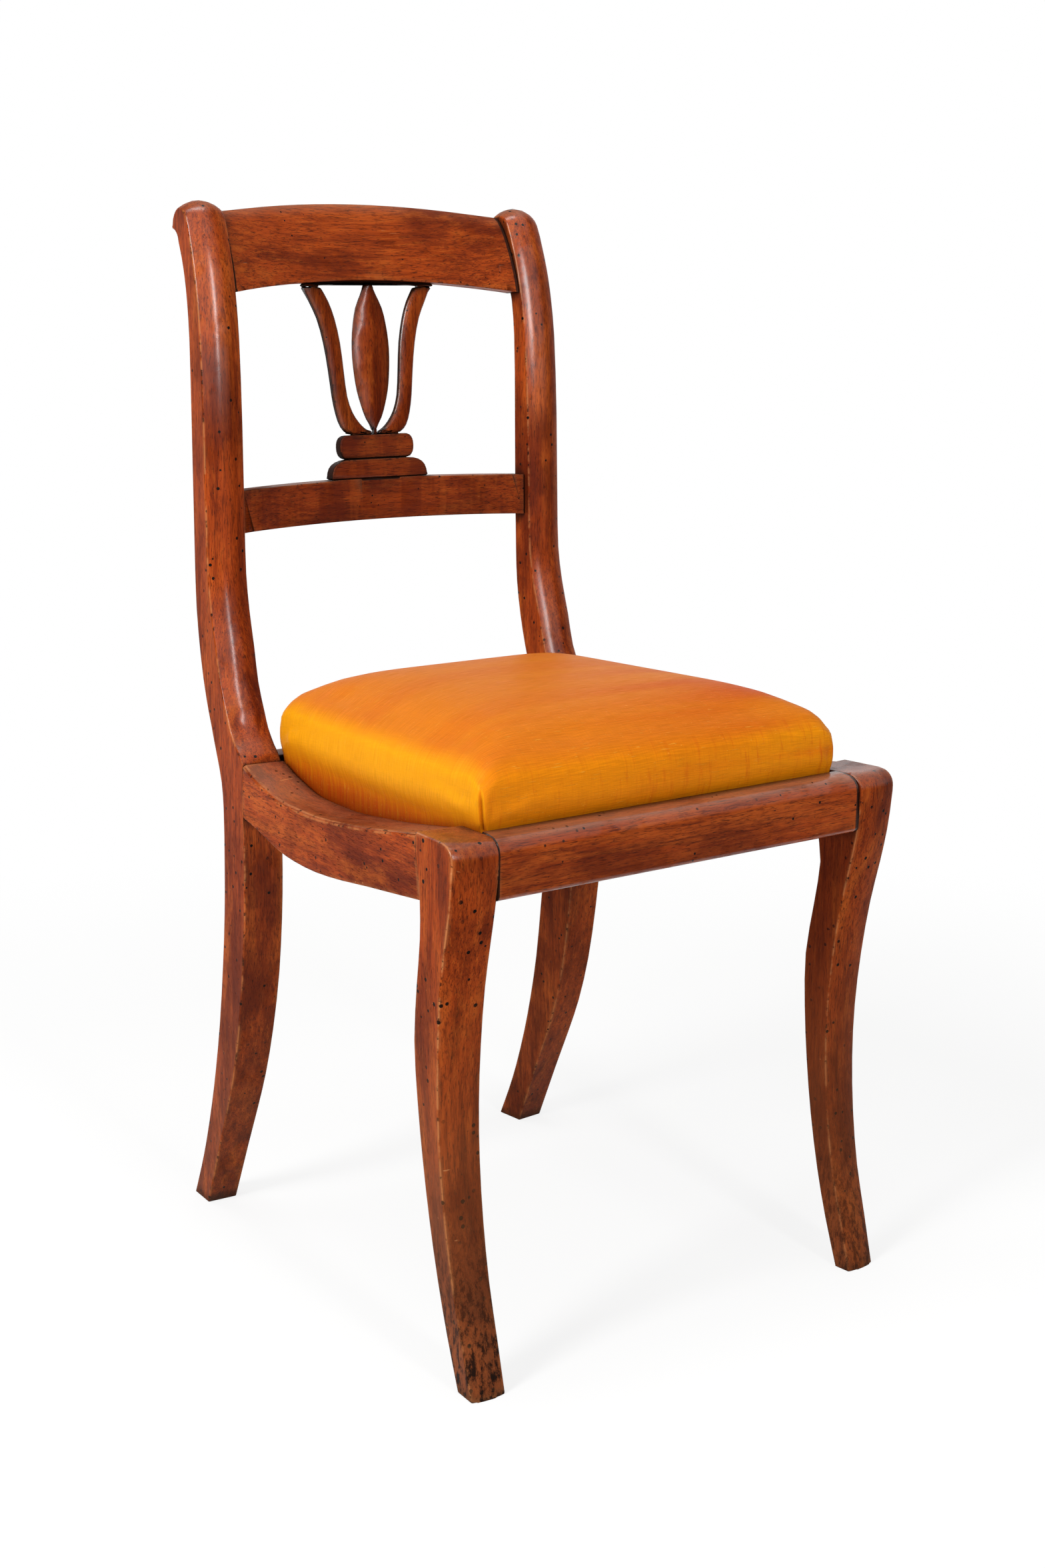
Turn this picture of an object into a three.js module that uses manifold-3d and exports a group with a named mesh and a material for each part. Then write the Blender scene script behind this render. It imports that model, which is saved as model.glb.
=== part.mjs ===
// Lyre back side chair with sabre legs and a drop-in seat.
// Millimetres, +Z up, floor at Z = 0, the sitter faces -Y. Left and right are as seen from the front.
//
// Each side of the chair is a flat frame of stile, side rail and front leg, which splays outwards
// to the front and leans inwards to the top. In a side frame's own axes the outer face is x = 0,
// x runs outwards, y to the back and z up. The lyre has its own axes too: it is built upright and
// leaned back as one.

import * as THREE from 'three';
import { mergeVertices } from 'three/addons/utils/BufferGeometryUtils.js';
import Module from 'manifold-3d';

const wasm = await Module();
wasm.setup();

// The whole chair

const chairHeight = 860;
const halfSpread = 198.5; // middle of the chair to a side's outer face, at the side's origin
const splayAngle = THREE.MathUtils.degToRad(4.46);
const leanAngle = THREE.MathUtils.degToRad(0.49);

// Fits

const glueGap = 0.3; // between faces that meet and are glued or nailed
const tenonFit = 0.3; // round a tongue in its mortise
const cutOverrun = 6;

// Stile, one piece from the rear foot to the scroll

const stileWidth = 35;
const stileFront = 108.5; // its front face at the seat, behind the side's origin
const stileDepth = 40.3; // front to back under the seat
const rearSweep = 91; // rear foot behind the stile's front face
const rearFootWidth = 27;
const rearTaperHeight = 235; // the inner face tapers below this height
const backSetback = 62; // front face at the lyre, behind the front face at the seat
const frontRound = 6.4; // swell of the stile's rounded front face
const backSlant = 6.5; // its inner back edge ahead of the outer one, above the seat
const scrollRadius = 14.6;
const scrollSetback = 101.6; // scroll centre behind the front face at the seat
const scrollStartAngle = THREE.MathUtils.degToRad(155);
const scrollEndAngle = THREE.MathUtils.degToRad(-8);

// Front leg

const kneeReach = 231.8; // front of the knee, ahead of the side's origin
const kneeDepth = 51.6;
const kneeWidth = 38.5;
const kneeRise = 49; // top of the knee above the rails' underside
const frontFootWidth = 29;
const frontFootInset = 14.2; // outer face of the foot inside the side's outer face
const frontTaperHeight = 330;
const legRound = 2; // swell of the leg's front face
const legSlant = 5.5; // its inner back edge ahead of the outer one, below the taper's start

// Seat rails

const railUnderside = 368;
const frontRailLift = 3; // its underside above the others'
const railHeight = 48;
const rearRailHeight = 45;
const railEase = 2; // chamfer along a side rail's top edges
const saddleDrop = 21; // dip of a side rail's top edge
const bellyDrop = 16.8; // dip of its lower edge
const frontRailThickness = 24;
const frontRailSetback = 1.5; // behind the knee
const rearRailThickness = 24;
const rearRailSetback = 12.5; // behind the stile's front face

// Tongues of the seat rails

const sideTenonThickness = 10;
const sideTenonLength = 21;
const crossTenonThickness = 8;
const crossTenonLength = 16;
const tenonShoulder = 8; // above and below a tongue

// Crest rail and mid rail

const crestDrop = 73; // chair top to the crest rail's lower edge, at its ends
const crestHeight = 64;
const crestThickness = 18;
const crestRake = 30; // how far its top rolls back over its lower edge
const crestSetback = 1.7; // behind the stiles' front edges
const crestBow = 20; // the middle lies behind the ends
const crestArch = 10.2; // the middle stands above the ends
const crestTenonFront = 9; // behind the crest rail's front edge
const crestTenonHeight = 19;
const midRailDrop = 268; // chair top to the mid rail's lower edge
const midRailHeight = 35;
const midRailThickness = 17;
const midRailSetback = 4.7;
const midRailBow = 14;
const midRailArch = 2.7;
const backTenonThickness = 6;
const backTenonShoulder = 5;

// Lyre

const lyreLean = THREE.MathUtils.degToRad(3.6);
const lyreSetback = 7.2; // its middle plane behind the mid rail's front face
const lyreHalfWidth = 64.4;
const lyreThickness = 7;
const armRound = 2; // swell of an arm's front
const baseHalfWidth = 48.7;
const baseLead = 2; // ahead of the lyre's middle plane
const baseHeight = 16.5;
const baseThickness = 10.5;
const baseRoundWidth = 19; // of its quarter-round ends
const baseRoundHeight = 15;
const collarHalfWidth = 37.7;
const collarTopHalfWidth = 29.1;
const collarFootHalfWidth = 28.5;
const collarHeight = 20.5;
const collarThickness = 8.5;
const leafHalfWidth = 19.6;
const leafTopHalfWidth = 4.4;
const leafFootHalfWidth = 1.2;
const leafRidge = 5.5; // ridge ahead of the leaf's edge
const leafBack = 4;
const leafFootLift = 3; // foot of the leaf above the collar
const battenHeight = 2.5;
const battenThickness = 8.5;

// Tongues of the lyre

const spigotThickness = 4;
const spigotLength = 3;
const armSpigotHalfWidth = 4;
const leafSpigotHalfWidth = 1.6;
const splatTongueThickness = 6;
const splatTongueLength = 8;
const crestTongueHalfWidth = 60;
const baseTongueHalfWidth = 20;
const collarTongueHalfWidth = 14;

// Corner blocks

const blockLeg = 42;
const blockHeight = 15;
const blockLift = 1; // above the rails' underside

// Drop-in seat

const seatGap = 1.6; // between the silk and the rails
const seatCornerRadius = 11;
const silkThickness = 1.2;
const hemWidth = 20;
const baseClothThickness = 0.8;
const baseClothInset = 8;
const frameWidth = 44;
const frameHeight = 18;
const frameTenonLength = 16;
const frameTenonThickness = 8;
const frameTenonWidth = 20;
const webThickness = 1.4;
const webWidth = 50;
const webLap = 22; // on the seat frame
const padSideTop = 448; // floor to the top of the pad's upright side
const padShoulder = 21; // radius from the side into the top
const padCrown = 20; // the middle above the shoulder
const padBulge = 2.2; // its outline stands over the rails
const padSwell = 3.8; // of the sides, more in their middle

// Shares chosen by hand

// Rear leg: height up to the rails, sweep, depth
const rearLegShares = [
  [-0.02, 1.035, 0.73],
  [0, 1, 0.72],
  [0.08, 0.857, 0.68],
  [0.155, 0.725, 0.68],
  [0.264, 0.523, 0.78],
  [0.36, 0.36, 0.89],
  [0.48, 0.214, 0.955],
  [0.625, 0.1, 0.985],
  [0.755, 0.029, 1],
  [0.87, 0, 1.01],
  [1, 0, 1],
  [1.06, 0, 1.07],
];

// Back of the stile: height from the rail to the scroll's centre, setback, depth, roundness
const backShares = [
  [0, 0.01, 1.28, 0],
  [0.026, 0.2, 1.11, 0.3],
  [0.054, 0.375, 0.96, 0.6],
  [0.08, 0.47, 0.938, 0.85],
  [0.138, 0.66, 0.856, 1],
  [0.204, 0.768, 0.849, 1],
  [0.275, 0.9, 0.754, 1],
  [0.345, 0.98, 0.66, 1],
  [0.45, 0.997, 0.635, 1],
  [0.627, 1.01, 0.615, 1],
  [0.791, 1.058, 0.551, 1],
  [0.861, 1.12, 0.526, 1],
  [0.908, 1.184, 0.528, 1],
  [0.944, 1.252, 0.548, 1],
  [0.969, 1.308, 0.58, 1],
];

// Hollow under the scroll's nose, from the scroll's centre: back, up
const throatShares = [0.27, -0.68];
const throatBendShares = [0.38, -0.31];
const noseShares = [0.96, -0.1];

// Front leg: height, reach, depth, roundness
const frontLegShares = [
  [-0.02, 1.03, 0.385, 1],
  [0, 1.02, 0.39, 1],
  [0.096, 0.975, 0.445, 1],
  [0.192, 0.929, 0.446, 1],
  [0.3, 0.896, 0.473, 1],
  [0.408, 0.878, 0.515, 1],
  [0.516, 0.876, 0.585, 1],
  [0.624, 0.891, 0.669, 1],
  [0.731, 0.919, 0.653, 1],
  [0.815, 0.954, 0.682, 1],
  [0.882, 0.981, 0.802, 1],
  [0.947, 0.997, 0.957, 1],
  [0.969, 1, 1, 1],
  [0.981, 0.996, 0.998, 1],
  [0.9905, 0.984, 0.953, 0.8],
  [0.997, 0.964, 0.874, 0.5],
  [1, 0.932, 0.733, 0],
];

// Side rail: distance from the leg, dip of the top edge, dip of the lower edge
const sideRailShares = [
  [0, 0.02, 0],
  [0.1, 0.24, 0.22],
  [0.25, 0.55, 0.49],
  [0.4, 0.79, 0.79],
  [0.55, 0.98, 0.99],
  [0.68, 1, 0.97],
  [0.78, 0.95, 0.8],
  [0.87, 0.7, 0.45],
  [0.94, 0.45, 0.2],
  [1, 0.16, 0.04],
];

// Crest rail: back, up, thickness, roll of the back line
const crestShares = [
  [0, 0, 1, 0],
  [0.07, 0.16, 1, 0.06],
  [0.19, 0.34, 1, 0.12],
  [0.34, 0.53, 1, 0.2],
  [0.5, 0.7, 1, 0.27],
  [0.66, 0.84, 0.93, 0.31],
  [0.82, 0.94, 0.72, 0.34],
];
const crestStileShare = 1.13; // the stile's setback at the crest rail's lower edge

// Lyre arm, from the batten to the collar: outer edge across and up, inner edge across and up
const armShares = [
  [1, 1, 0.725, 1],
  [0.91, 0.905, 0.616, 0.905],
  [0.803, 0.79, 0.533, 0.79],
  [0.72, 0.627, 0.466, 0.627],
  [0.667, 0.441, 0.43, 0.441],
  [0.63, 0.263, 0.395, 0.263],
  [0.585, 0.142, 0.325, 0.155],
  [0.52, 0.055, 0.232, 0.085],
  [0.42, 0.008, 0.148, 0.044],
  [0.19, 0, 0.09, 0.026],
  [0.055, 0, 0.05, 0.018],
];
const armTopSpigotShare = 0.84;
const armFootSpigotShare = 0.3;

// Leaf: height, half width, ridge
const leafShares = [
  [0.09, 0.45, 0.6],
  [0.18, 0.67, 0.85],
  [0.275, 0.84, 0.95],
  [0.37, 0.935, 1],
  [0.5, 1, 1],
  [0.615, 0.985, 1],
  [0.73, 0.89, 1],
  [0.84, 0.72, 0.9],
  [0.935, 0.42, 0.7],
];
const leafEndRidgeShare = 0.45;
const leafFlankShare = 0.55;
const leafFlankRidgeShare = 0.7;

// Seat pad: height up its side, bulge
const padSideShares = [
  [0.46, 0],
  [0.56, 0.5],
  [0.7, 0.86],
  [0.85, 1],
  [1, 0.85],
];
// Seat pad's top: way in from the shoulder, rise
const padTopShares = [
  [0.1, 0.34],
  [0.25, 0.66],
  [0.45, 0.87],
  [0.66, 0.97],
  [0.86, 1],
];
const webPitchShare = 0.31; // of the seat frame's opening
const padCornerShare = 0.35; // its contours grow rounder towards the middle

// Facets

const stepsPerStation = 2;
const roundSteps = 6;
const scrollSteps = 5;
const bowSteps = 16;
const arcSteps = 6;
const cornerSteps = 4;
const edgeSteps = 4;
const shoulderSteps = 3;

// Geometry helpers

const point = (x, y, z) => new THREE.Vector3(x, y, z);
const mix = THREE.MathUtils.lerp;

// Turns the faces of a closed skin outwards
function outward(positions, faces) {
  const corners = faces.map((index) => new THREE.Vector3().fromArray(positions, index * 3));
  let volume = 0;
  for (let i = 0; i < corners.length; i += 3) {
    volume += corners[i].dot(new THREE.Vector3().crossVectors(corners[i + 1], corners[i + 2]));
  }
  if (volume > 0) return faces;
  return faces.map((_, i) => faces[i - (i % 3) + [0, 2, 1][i % 3]]);
}

function skinGeometry(positions, faces) {
  const geometry = new THREE.BufferGeometry();
  geometry.setAttribute('position', new THREE.Float32BufferAttribute(positions, 3));
  geometry.setIndex(outward(positions, faces));
  geometry.computeVertexNormals();
  return geometry;
}

// Skin over a row of rings, closed by a fan at each end
function loft(rings) {
  const count = rings[0].length;
  const last = (rings.length - 1) * count;
  const faces = [];
  for (let start = 0; start < last; start += count) {
    for (let i = 0; i < count; i++) {
      const next = (i + 1) % count;
      faces.push(start + i, start + next, start + count + next);
      faces.push(start + i, start + count + next, start + count + i);
    }
  }
  for (let i = 1; i < count - 1; i++) {
    faces.push(0, i + 1, i, last, last + i, last + i + 1);
  }
  return skinGeometry(rings.flat().flatMap((corner) => corner.toArray()), faces);
}

// Ring of a member that is flat on three sides and swells on the fourth
function swelledRing(outerFront, innerFront, outerBack, innerBack, swell) {
  const ring = [outerBack, innerBack];
  for (let step = 0; step <= roundSteps; step++) {
    const share = step / roundSteps;
    const rise = 1 - (2 * share - 1) ** 2;
    ring.push(innerFront.clone().lerp(outerFront, share).addScaledVector(swell, rise));
  }
  return ring;
}

// Runs a smooth curve through each column of points and returns the rows along them
function smoothRows(rows) {
  const columns = rows[0].map((_, i) => new THREE.CatmullRomCurve3(rows.map((row) => row[i])));
  const count = (rows.length - 1) * stepsPerStation;
  return Array.from({ length: count + 1 }, (_, i) => columns.map((curve) => curve.getPoint(i / count)));
}

function box(x0, x1, y0, y1, z0, z1) {
  const geometry = new THREE.BoxGeometry(x1 - x0, y1 - y0, z1 - z0);
  return geometry.translate((x0 + x1) / 2, (y0 + y1) / 2, (z0 + z1) / 2);
}

function shapeOf(outline) {
  return new THREE.Shape(outline.map(([x, y]) => new THREE.Vector2(x, y)));
}

// A level board from its plan
function slab(outline, z0, z1) {
  const geometry = new THREE.ExtrudeGeometry(shapeOf(outline), { depth: z1 - z0, bevelEnabled: false });
  return geometry.translate(0, 0, z0);
}

// An upright board from its front view, with y = 0 in its middle
function board(shape, thickness) {
  const options = { depth: thickness, bevelEnabled: false, curveSegments: arcSteps };
  return new THREE.ExtrudeGeometry(shape, options).rotateX(Math.PI / 2).translate(0, thickness / 2, 0);
}

function merged(geometry) {
  const copy = geometry.clone();
  copy.deleteAttribute('normal');
  copy.deleteAttribute('uv');
  return mergeVertices(copy);
}

function mirrored(geometry) {
  const copy = merged(geometry).applyMatrix4(new THREE.Matrix4().makeScale(-1, 1, 1));
  return skinGeometry(Array.from(copy.attributes.position.array), Array.from(copy.index.array));
}

function toSolid(geometry) {
  const skin = merged(geometry);
  return new wasm.Manifold(new wasm.Mesh({
    numProp: 3,
    vertProperties: new Float32Array(skin.attributes.position.array),
    triVerts: new Uint32Array(skin.index.array),
  }));
}

function fromSolid(solid) {
  const mesh = solid.getMesh();
  const geometry = new THREE.BufferGeometry();
  geometry.setAttribute('position', new THREE.BufferAttribute(new Float32Array(mesh.vertProperties), 3));
  geometry.setIndex(new THREE.BufferAttribute(new Uint32Array(mesh.triVerts), 1));
  geometry.computeVertexNormals();
  return geometry;
}

function cut(geometry, ...tools) {
  return fromSolid(tools.reduce((solid, tool) => solid.subtract(toSolid(tool)), toSolid(geometry)));
}

function join(geometry, ...others) {
  return fromSolid(others.reduce((solid, other) => solid.add(toSolid(other)), toSolid(geometry)));
}

function common(geometry, other) {
  return fromSolid(toSolid(geometry).intersect(toSolid(other)));
}

// A tongue is six limits, and its mortise the same box with the fit added all round
const tongue = (limits) => box(...limits);
const mortise = (limits) => box(...limits.map((value, i) => value + (i % 2 ? tenonFit : -tenonFit)));

// Places of the side frames

const sideMatrix = new THREE.Matrix4().makeTranslation(halfSpread, 0, 0)
  .multiply(new THREE.Matrix4().makeRotationZ(splayAngle))
  .multiply(new THREE.Matrix4().makeRotationY(-leanAngle));
const toSideMatrix = sideMatrix.clone().invert();
const inChair = (x, y, z) => point(x, y, z).applyMatrix4(sideMatrix);
const inSide = (x, y, z) => point(x, y, z).applyMatrix4(toSideMatrix);

const reach = chairHeight;
const railTop = railUnderside + railHeight;
const kneeTop = railUnderside + kneeRise;
const frontRailUnderside = railUnderside + frontRailLift;
const rearRailTop = railUnderside + rearRailHeight;
const legJoint = kneeDepth - kneeReach; // the side rail meets the front leg here
const scrollCentre = chairHeight - scrollRadius - frontRound;
const backRise = scrollCentre - rearRailTop;

// Places of the cross rails, in the chair's axes

const backFace = stileFront + backSetback;
const crestUnderside = chairHeight - crestDrop;
const midRailUnderside = chairHeight - midRailDrop;
const midRailTop = midRailUnderside + midRailHeight + midRailArch;
const midRailEnd = inChair(-stileWidth, backFace, midRailUnderside);
const crestEnd = inChair(-stileWidth, stileFront + crestStileShare * backSetback, crestUnderside);
const midRailFront = midRailEnd.y + midRailSetback;
const crestFront = crestEnd.y + crestSetback;
const frontRailFront = inChair(-kneeWidth, -kneeReach, kneeTop).y + frontRailSetback;
const frontRailBack = frontRailFront + frontRailThickness;
const rearRailFront = stileFront + rearRailSetback;
const rearRailBack = rearRailFront + rearRailThickness;

// Share of a bow or an arch that is left at a distance from the chair's middle
const bowShare = (x, halfSpan) => 1 - (x / halfSpan) ** 2;

// Tongues in a side frame's own axes

function sideTenon(memberWidth, joint) {
  return [
    -(memberWidth + sideTenonThickness) / 2, -(memberWidth - sideTenonThickness) / 2,
    joint - sideTenonLength, joint + sideTenonLength,
    railUnderside + tenonShoulder, rearRailTop - tenonShoulder,
  ];
}

function crossTenon(memberWidth, front, thickness, bottom, top) {
  return [
    -memberWidth - crossTenonLength, -memberWidth + crossTenonLength,
    front, front + thickness, bottom, top,
  ];
}

const stileTenon = sideTenon(stileWidth, stileFront);
const legTenon = sideTenon(kneeWidth, legJoint);
const crestTenon = crossTenon(
  stileWidth,
  inSide(crestEnd.x, crestFront + crestTenonFront, crestUnderside).y,
  backTenonThickness,
  crestUnderside + backTenonShoulder,
  crestUnderside + backTenonShoulder + crestTenonHeight,
);
const midRailTenon = crossTenon(
  stileWidth,
  inSide(midRailEnd.x, midRailFront + (midRailThickness - backTenonThickness) / 2, midRailUnderside).y,
  backTenonThickness,
  midRailUnderside + backTenonShoulder,
  midRailUnderside + midRailHeight - backTenonShoulder,
);
const rearRailTenon = crossTenon(
  stileWidth,
  inSide(midRailEnd.x, rearRailBack - tenonShoulder - crossTenonThickness, railUnderside).y,
  crossTenonThickness,
  railUnderside + tenonShoulder, rearRailTop - tenonShoulder,
);
const frontRailTenon = crossTenon(
  kneeWidth,
  inSide(midRailEnd.x, frontRailFront + tenonShoulder, railUnderside).y,
  crossTenonThickness,
  railUnderside + tenonShoulder, rearRailTop - tenonShoulder,
);

// Side frame pieces, in a side frame's own axes

function rearWidth(height) {
  return mix(rearFootWidth, stileWidth, Math.min(1, height / rearTaperHeight));
}

// A station of the stile: front edge, back edge, then width, swell and slant of the back
function stileStation(frontY, frontZ, backY, backZ, swell, slant) {
  return [point(0, frontY, frontZ), point(0, backY, backZ), point(rearWidth(frontZ), swell, slant)];
}

function legStations() {
  return rearLegShares.map(([up, sweep, depth]) => {
    const front = stileFront + sweep * rearSweep;
    const height = up * railUnderside;
    return stileStation(front, height, front + depth * stileDepth, height, 0, 0);
  });
}

function backStations() {
  return backShares.map(([up, setback, depth, round]) => {
    const front = stileFront + setback * backSetback;
    const height = rearRailTop + up * backRise;
    const back = front + depth * stileDepth;
    return stileStation(front, height, back, height, round * frontRound, round * backSlant);
  });
}

// The front edge runs round the scroll, while the back edge follows the hollow under its nose
function scrollStations() {
  const centre = new THREE.Vector2(stileFront + scrollSetback, scrollCentre);
  const place = ([y, z]) => new THREE.Vector2(y, z).multiplyScalar(scrollRadius).add(centre);
  const hollow = new THREE.QuadraticBezierCurve(place(throatShares), place(throatBendShares), place(noseShares));
  return Array.from({ length: scrollSteps + 1 }, (_, step) => {
    const share = step / scrollSteps;
    const angle = mix(scrollStartAngle, scrollEndAngle, share);
    const front = place([Math.cos(angle), Math.sin(angle)]);
    const back = hollow.getPoint(share);
    return stileStation(front.x, front.y, back.x, back.y, frontRound, (1 - share) * backSlant);
  });
}

// Square to the front edge and pointing forwards, at one row of stations
function frontNormal(rows, i) {
  const before = rows[Math.max(i - 1, 0)][0];
  const after = rows[Math.min(i + 1, rows.length - 1)][0];
  const along = after.clone().sub(before).normalize();
  return point(0, -along.z, along.y);
}

// A foot is cut level with the floor
function levelFoot(geometry) {
  const floor = box(-reach, reach, -reach, reach, -reach, 0).applyMatrix4(toSideMatrix);
  return cut(geometry, floor);
}

function stile() {
  const rows = smoothRows([...legStations(), ...backStations(), ...scrollStations()]);
  const rings = rows.map(([front, back, size], i) => swelledRing(
    point(0, front.y, front.z), point(-size.x, front.y, front.z),
    point(0, back.y, back.z), point(-size.x, back.y - size.z, back.z),
    frontNormal(rows, i).multiplyScalar(size.y),
  ));
  const jointFace = box(-reach, reach, 0, stileFront, railUnderside, rearRailTop);
  const mortises = [stileTenon, crestTenon, midRailTenon, rearRailTenon].map(mortise);
  return cut(levelFoot(loft(rings)), jointFace, ...mortises);
}

function frontLeg() {
  const rows = smoothRows(frontLegShares.map(([up, forward, depth, round]) => {
    const height = up * kneeTop;
    const front = -forward * kneeReach;
    const taper = Math.min(1, height / frontTaperHeight);
    const outer = -mix(frontFootInset, 0, taper);
    const inner = outer - mix(frontFootWidth, kneeWidth, taper);
    const underRail = (railUnderside - height) / (railUnderside - frontTaperHeight);
    const slant = legSlant * THREE.MathUtils.clamp(underRail, 0, 1);
    return [point(0, front, height), point(0, front + depth * kneeDepth, height),
      point(outer, inner, 0), point(round * legRound, slant, 0)];
  }));
  const rings = rows.map(([front, back, faces, size], i) => swelledRing(
    point(faces.x, front.y, front.z), point(faces.y, front.y, front.z),
    point(faces.x, back.y, back.z), point(faces.y, back.y - size.y, back.z),
    frontNormal(rows, i).multiplyScalar(size.x),
  ));
  const jointFace = box(-reach, reach, legJoint, 0, railUnderside, reach);
  return cut(levelFoot(loft(rings)), jointFace, mortise(legTenon), mortise(frontRailTenon));
}

function sideRail() {
  const rows = smoothRows(sideRailShares.map(([along, saddle, belly]) => {
    const y = mix(legJoint + glueGap, stileFront - glueGap, along);
    return [point(0, y, railTop - saddle * saddleDrop), point(0, y, railUnderside - belly * bellyDrop)];
  }));
  const rings = rows.map(([top, bottom]) => [
    point(0, bottom.y, bottom.z),
    point(-kneeWidth, bottom.y, bottom.z),
    point(-kneeWidth, top.y, top.z - railEase),
    point(railEase - kneeWidth, top.y, top.z),
    point(-railEase, top.y, top.z),
    point(0, top.y, top.z - railEase),
  ]);
  return join(loft(rings), tongue(stileTenon), tongue(legTenon));
}

// Cross rails, in the chair's axes

// Sweeps a section of back and up along a bow and an arch
function bowedRail(section, halfSpan, bow, arch, steps) {
  const rings = Array.from({ length: steps + 1 }, (_, i) => {
    const x = mix(-halfSpan - cutOverrun, halfSpan + cutOverrun, i / steps);
    const share = bowShare(x, halfSpan);
    return section.map(([y, z]) => point(x, y + bow * share, z + arch * share));
  });
  return loft(rings);
}

// Ends a rail on the inner faces of both sides and adds its tongues
function fitBetweenSides(rail, memberWidth, limits) {
  const beyond = box(-memberWidth - glueGap, reach, -reach, reach, -reach, reach).applyMatrix4(sideMatrix);
  const tenon = tongue(limits).applyMatrix4(sideMatrix);
  return join(cut(rail, beyond, mirrored(beyond)), tenon, mirrored(tenon));
}

function crestRail() {
  const front = crestShares.map(([back, up]) => [
    crestFront + back * crestRake,
    crestUnderside + up * crestHeight,
  ]);
  const rear = crestShares.map(([back, up, thick, roll]) => [
    crestFront + back * crestRake + thick * crestThickness,
    crestUnderside + up * crestHeight - thick * crestThickness * (Math.tan(lyreLean) + roll),
  ]);
  const crown = [crestFront + crestRake, crestUnderside + crestHeight];
  const rail = bowedRail([...front, crown, ...rear.reverse()], crestEnd.x, crestBow, crestArch, bowSteps);
  return fitBetweenSides(cut(rail, fromLyre(mortise(crestTongue()))), stileWidth, crestTenon);
}

function midRail() {
  const section = [
    [midRailFront, midRailUnderside],
    [midRailFront + midRailThickness, midRailUnderside],
    [midRailFront + midRailThickness, midRailUnderside + midRailHeight],
    [midRailFront, midRailUnderside + midRailHeight],
  ];
  const rail = bowedRail(section, midRailEnd.x, midRailBow, midRailArch, bowSteps);
  return fitBetweenSides(cut(rail, fromLyre(mortise(baseTongue()))), stileWidth, midRailTenon);
}

// Its front has the knee's own outline
function frontRail() {
  const knee = frontLegShares.filter(([up]) => up * kneeTop >= frontRailUnderside);
  const front = knee.map(([up, forward], i) => [
    frontRailFront + (1 - forward) * kneeReach,
    i === 0 ? frontRailUnderside : up * kneeTop,
  ]);
  const section = [...front, [frontRailBack, kneeTop], [frontRailBack, frontRailUnderside]];
  const halfSpan = inChair(-kneeWidth, -kneeReach, frontRailUnderside).x;
  return fitBetweenSides(bowedRail(section, halfSpan, 0, 0, 1), kneeWidth, frontRailTenon);
}

function rearRail() {
  const halfSpan = inChair(-stileWidth, stileFront, railUnderside).x;
  const rail = box(-halfSpan, halfSpan, rearRailFront, rearRailBack, railUnderside, rearRailTop);
  return fitBetweenSides(rail, stileWidth, rearRailTenon);
}

// Lyre, in its own axes: x across, y back from its middle plane, z up from the mid rail

const lyreFoot = point(0, midRailFront + midRailBow + lyreSetback, midRailTop);
const lyreMatrix = new THREE.Matrix4().makeTranslation(lyreFoot.x, lyreFoot.y, lyreFoot.z)
  .multiply(new THREE.Matrix4().makeRotationX(-lyreLean));

function fromLyre(geometry) {
  return geometry.applyMatrix4(lyreMatrix);
}

// Height of the crest rail's underside above the mid rail, at a distance from the middle
function crestSeat(x) {
  const share = bowShare(x, crestEnd.x);
  const back = crestFront + crestBow * share - lyreFoot.y;
  const up = crestUnderside + crestArch * share - lyreFoot.z;
  return back * Math.sin(lyreLean) + up * Math.cos(lyreLean);
}

const collarFoot = baseHeight + glueGap;
const collarTop = collarFoot + collarHeight;
const armFoot = collarTop + glueGap;
const armTop = crestSeat(lyreHalfWidth) - battenHeight - 2 * glueGap;
const leafTop = crestSeat(0) - battenHeight - 2 * glueGap;
const halfSpigot = spigotThickness / 2;
const halfSplatTongue = splatTongueThickness / 2;

// Upright tongue through a joint at one height, reaching the same way into both pieces
function uprightTongue(x, halfWidth, halfThickness, height, length) {
  return [x - halfWidth, x + halfWidth, -halfThickness, halfThickness, height - length, height + length];
}

function crestTongue() {
  const height = crestSeat(crestTongueHalfWidth);
  return uprightTongue(0, crestTongueHalfWidth, halfSplatTongue, height, splatTongueLength);
}

function baseTongue() {
  return uprightTongue(0, baseTongueHalfWidth, halfSplatTongue, 0, splatTongueLength);
}

function collarTongue() {
  return uprightTongue(0, collarTongueHalfWidth, halfSpigot, baseHeight, spigotLength);
}

function armTopSpigot() {
  const x = armTopSpigotShare * lyreHalfWidth;
  return uprightTongue(x, armSpigotHalfWidth, halfSpigot, armTop, spigotLength);
}

function armFootSpigot() {
  const x = armFootSpigotShare * lyreHalfWidth;
  return uprightTongue(x, armSpigotHalfWidth, halfSpigot, armFoot, spigotLength);
}

function leafTopSpigot() {
  return uprightTongue(0, leafSpigotHalfWidth, halfSpigot, leafTop, spigotLength);
}

function leafFootSpigot() {
  const limits = uprightTongue(0, leafFootHalfWidth, halfSpigot, armFoot, spigotLength);
  return [...limits.slice(0, 5), armFoot + 2 * leafFootLift];
}

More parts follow.
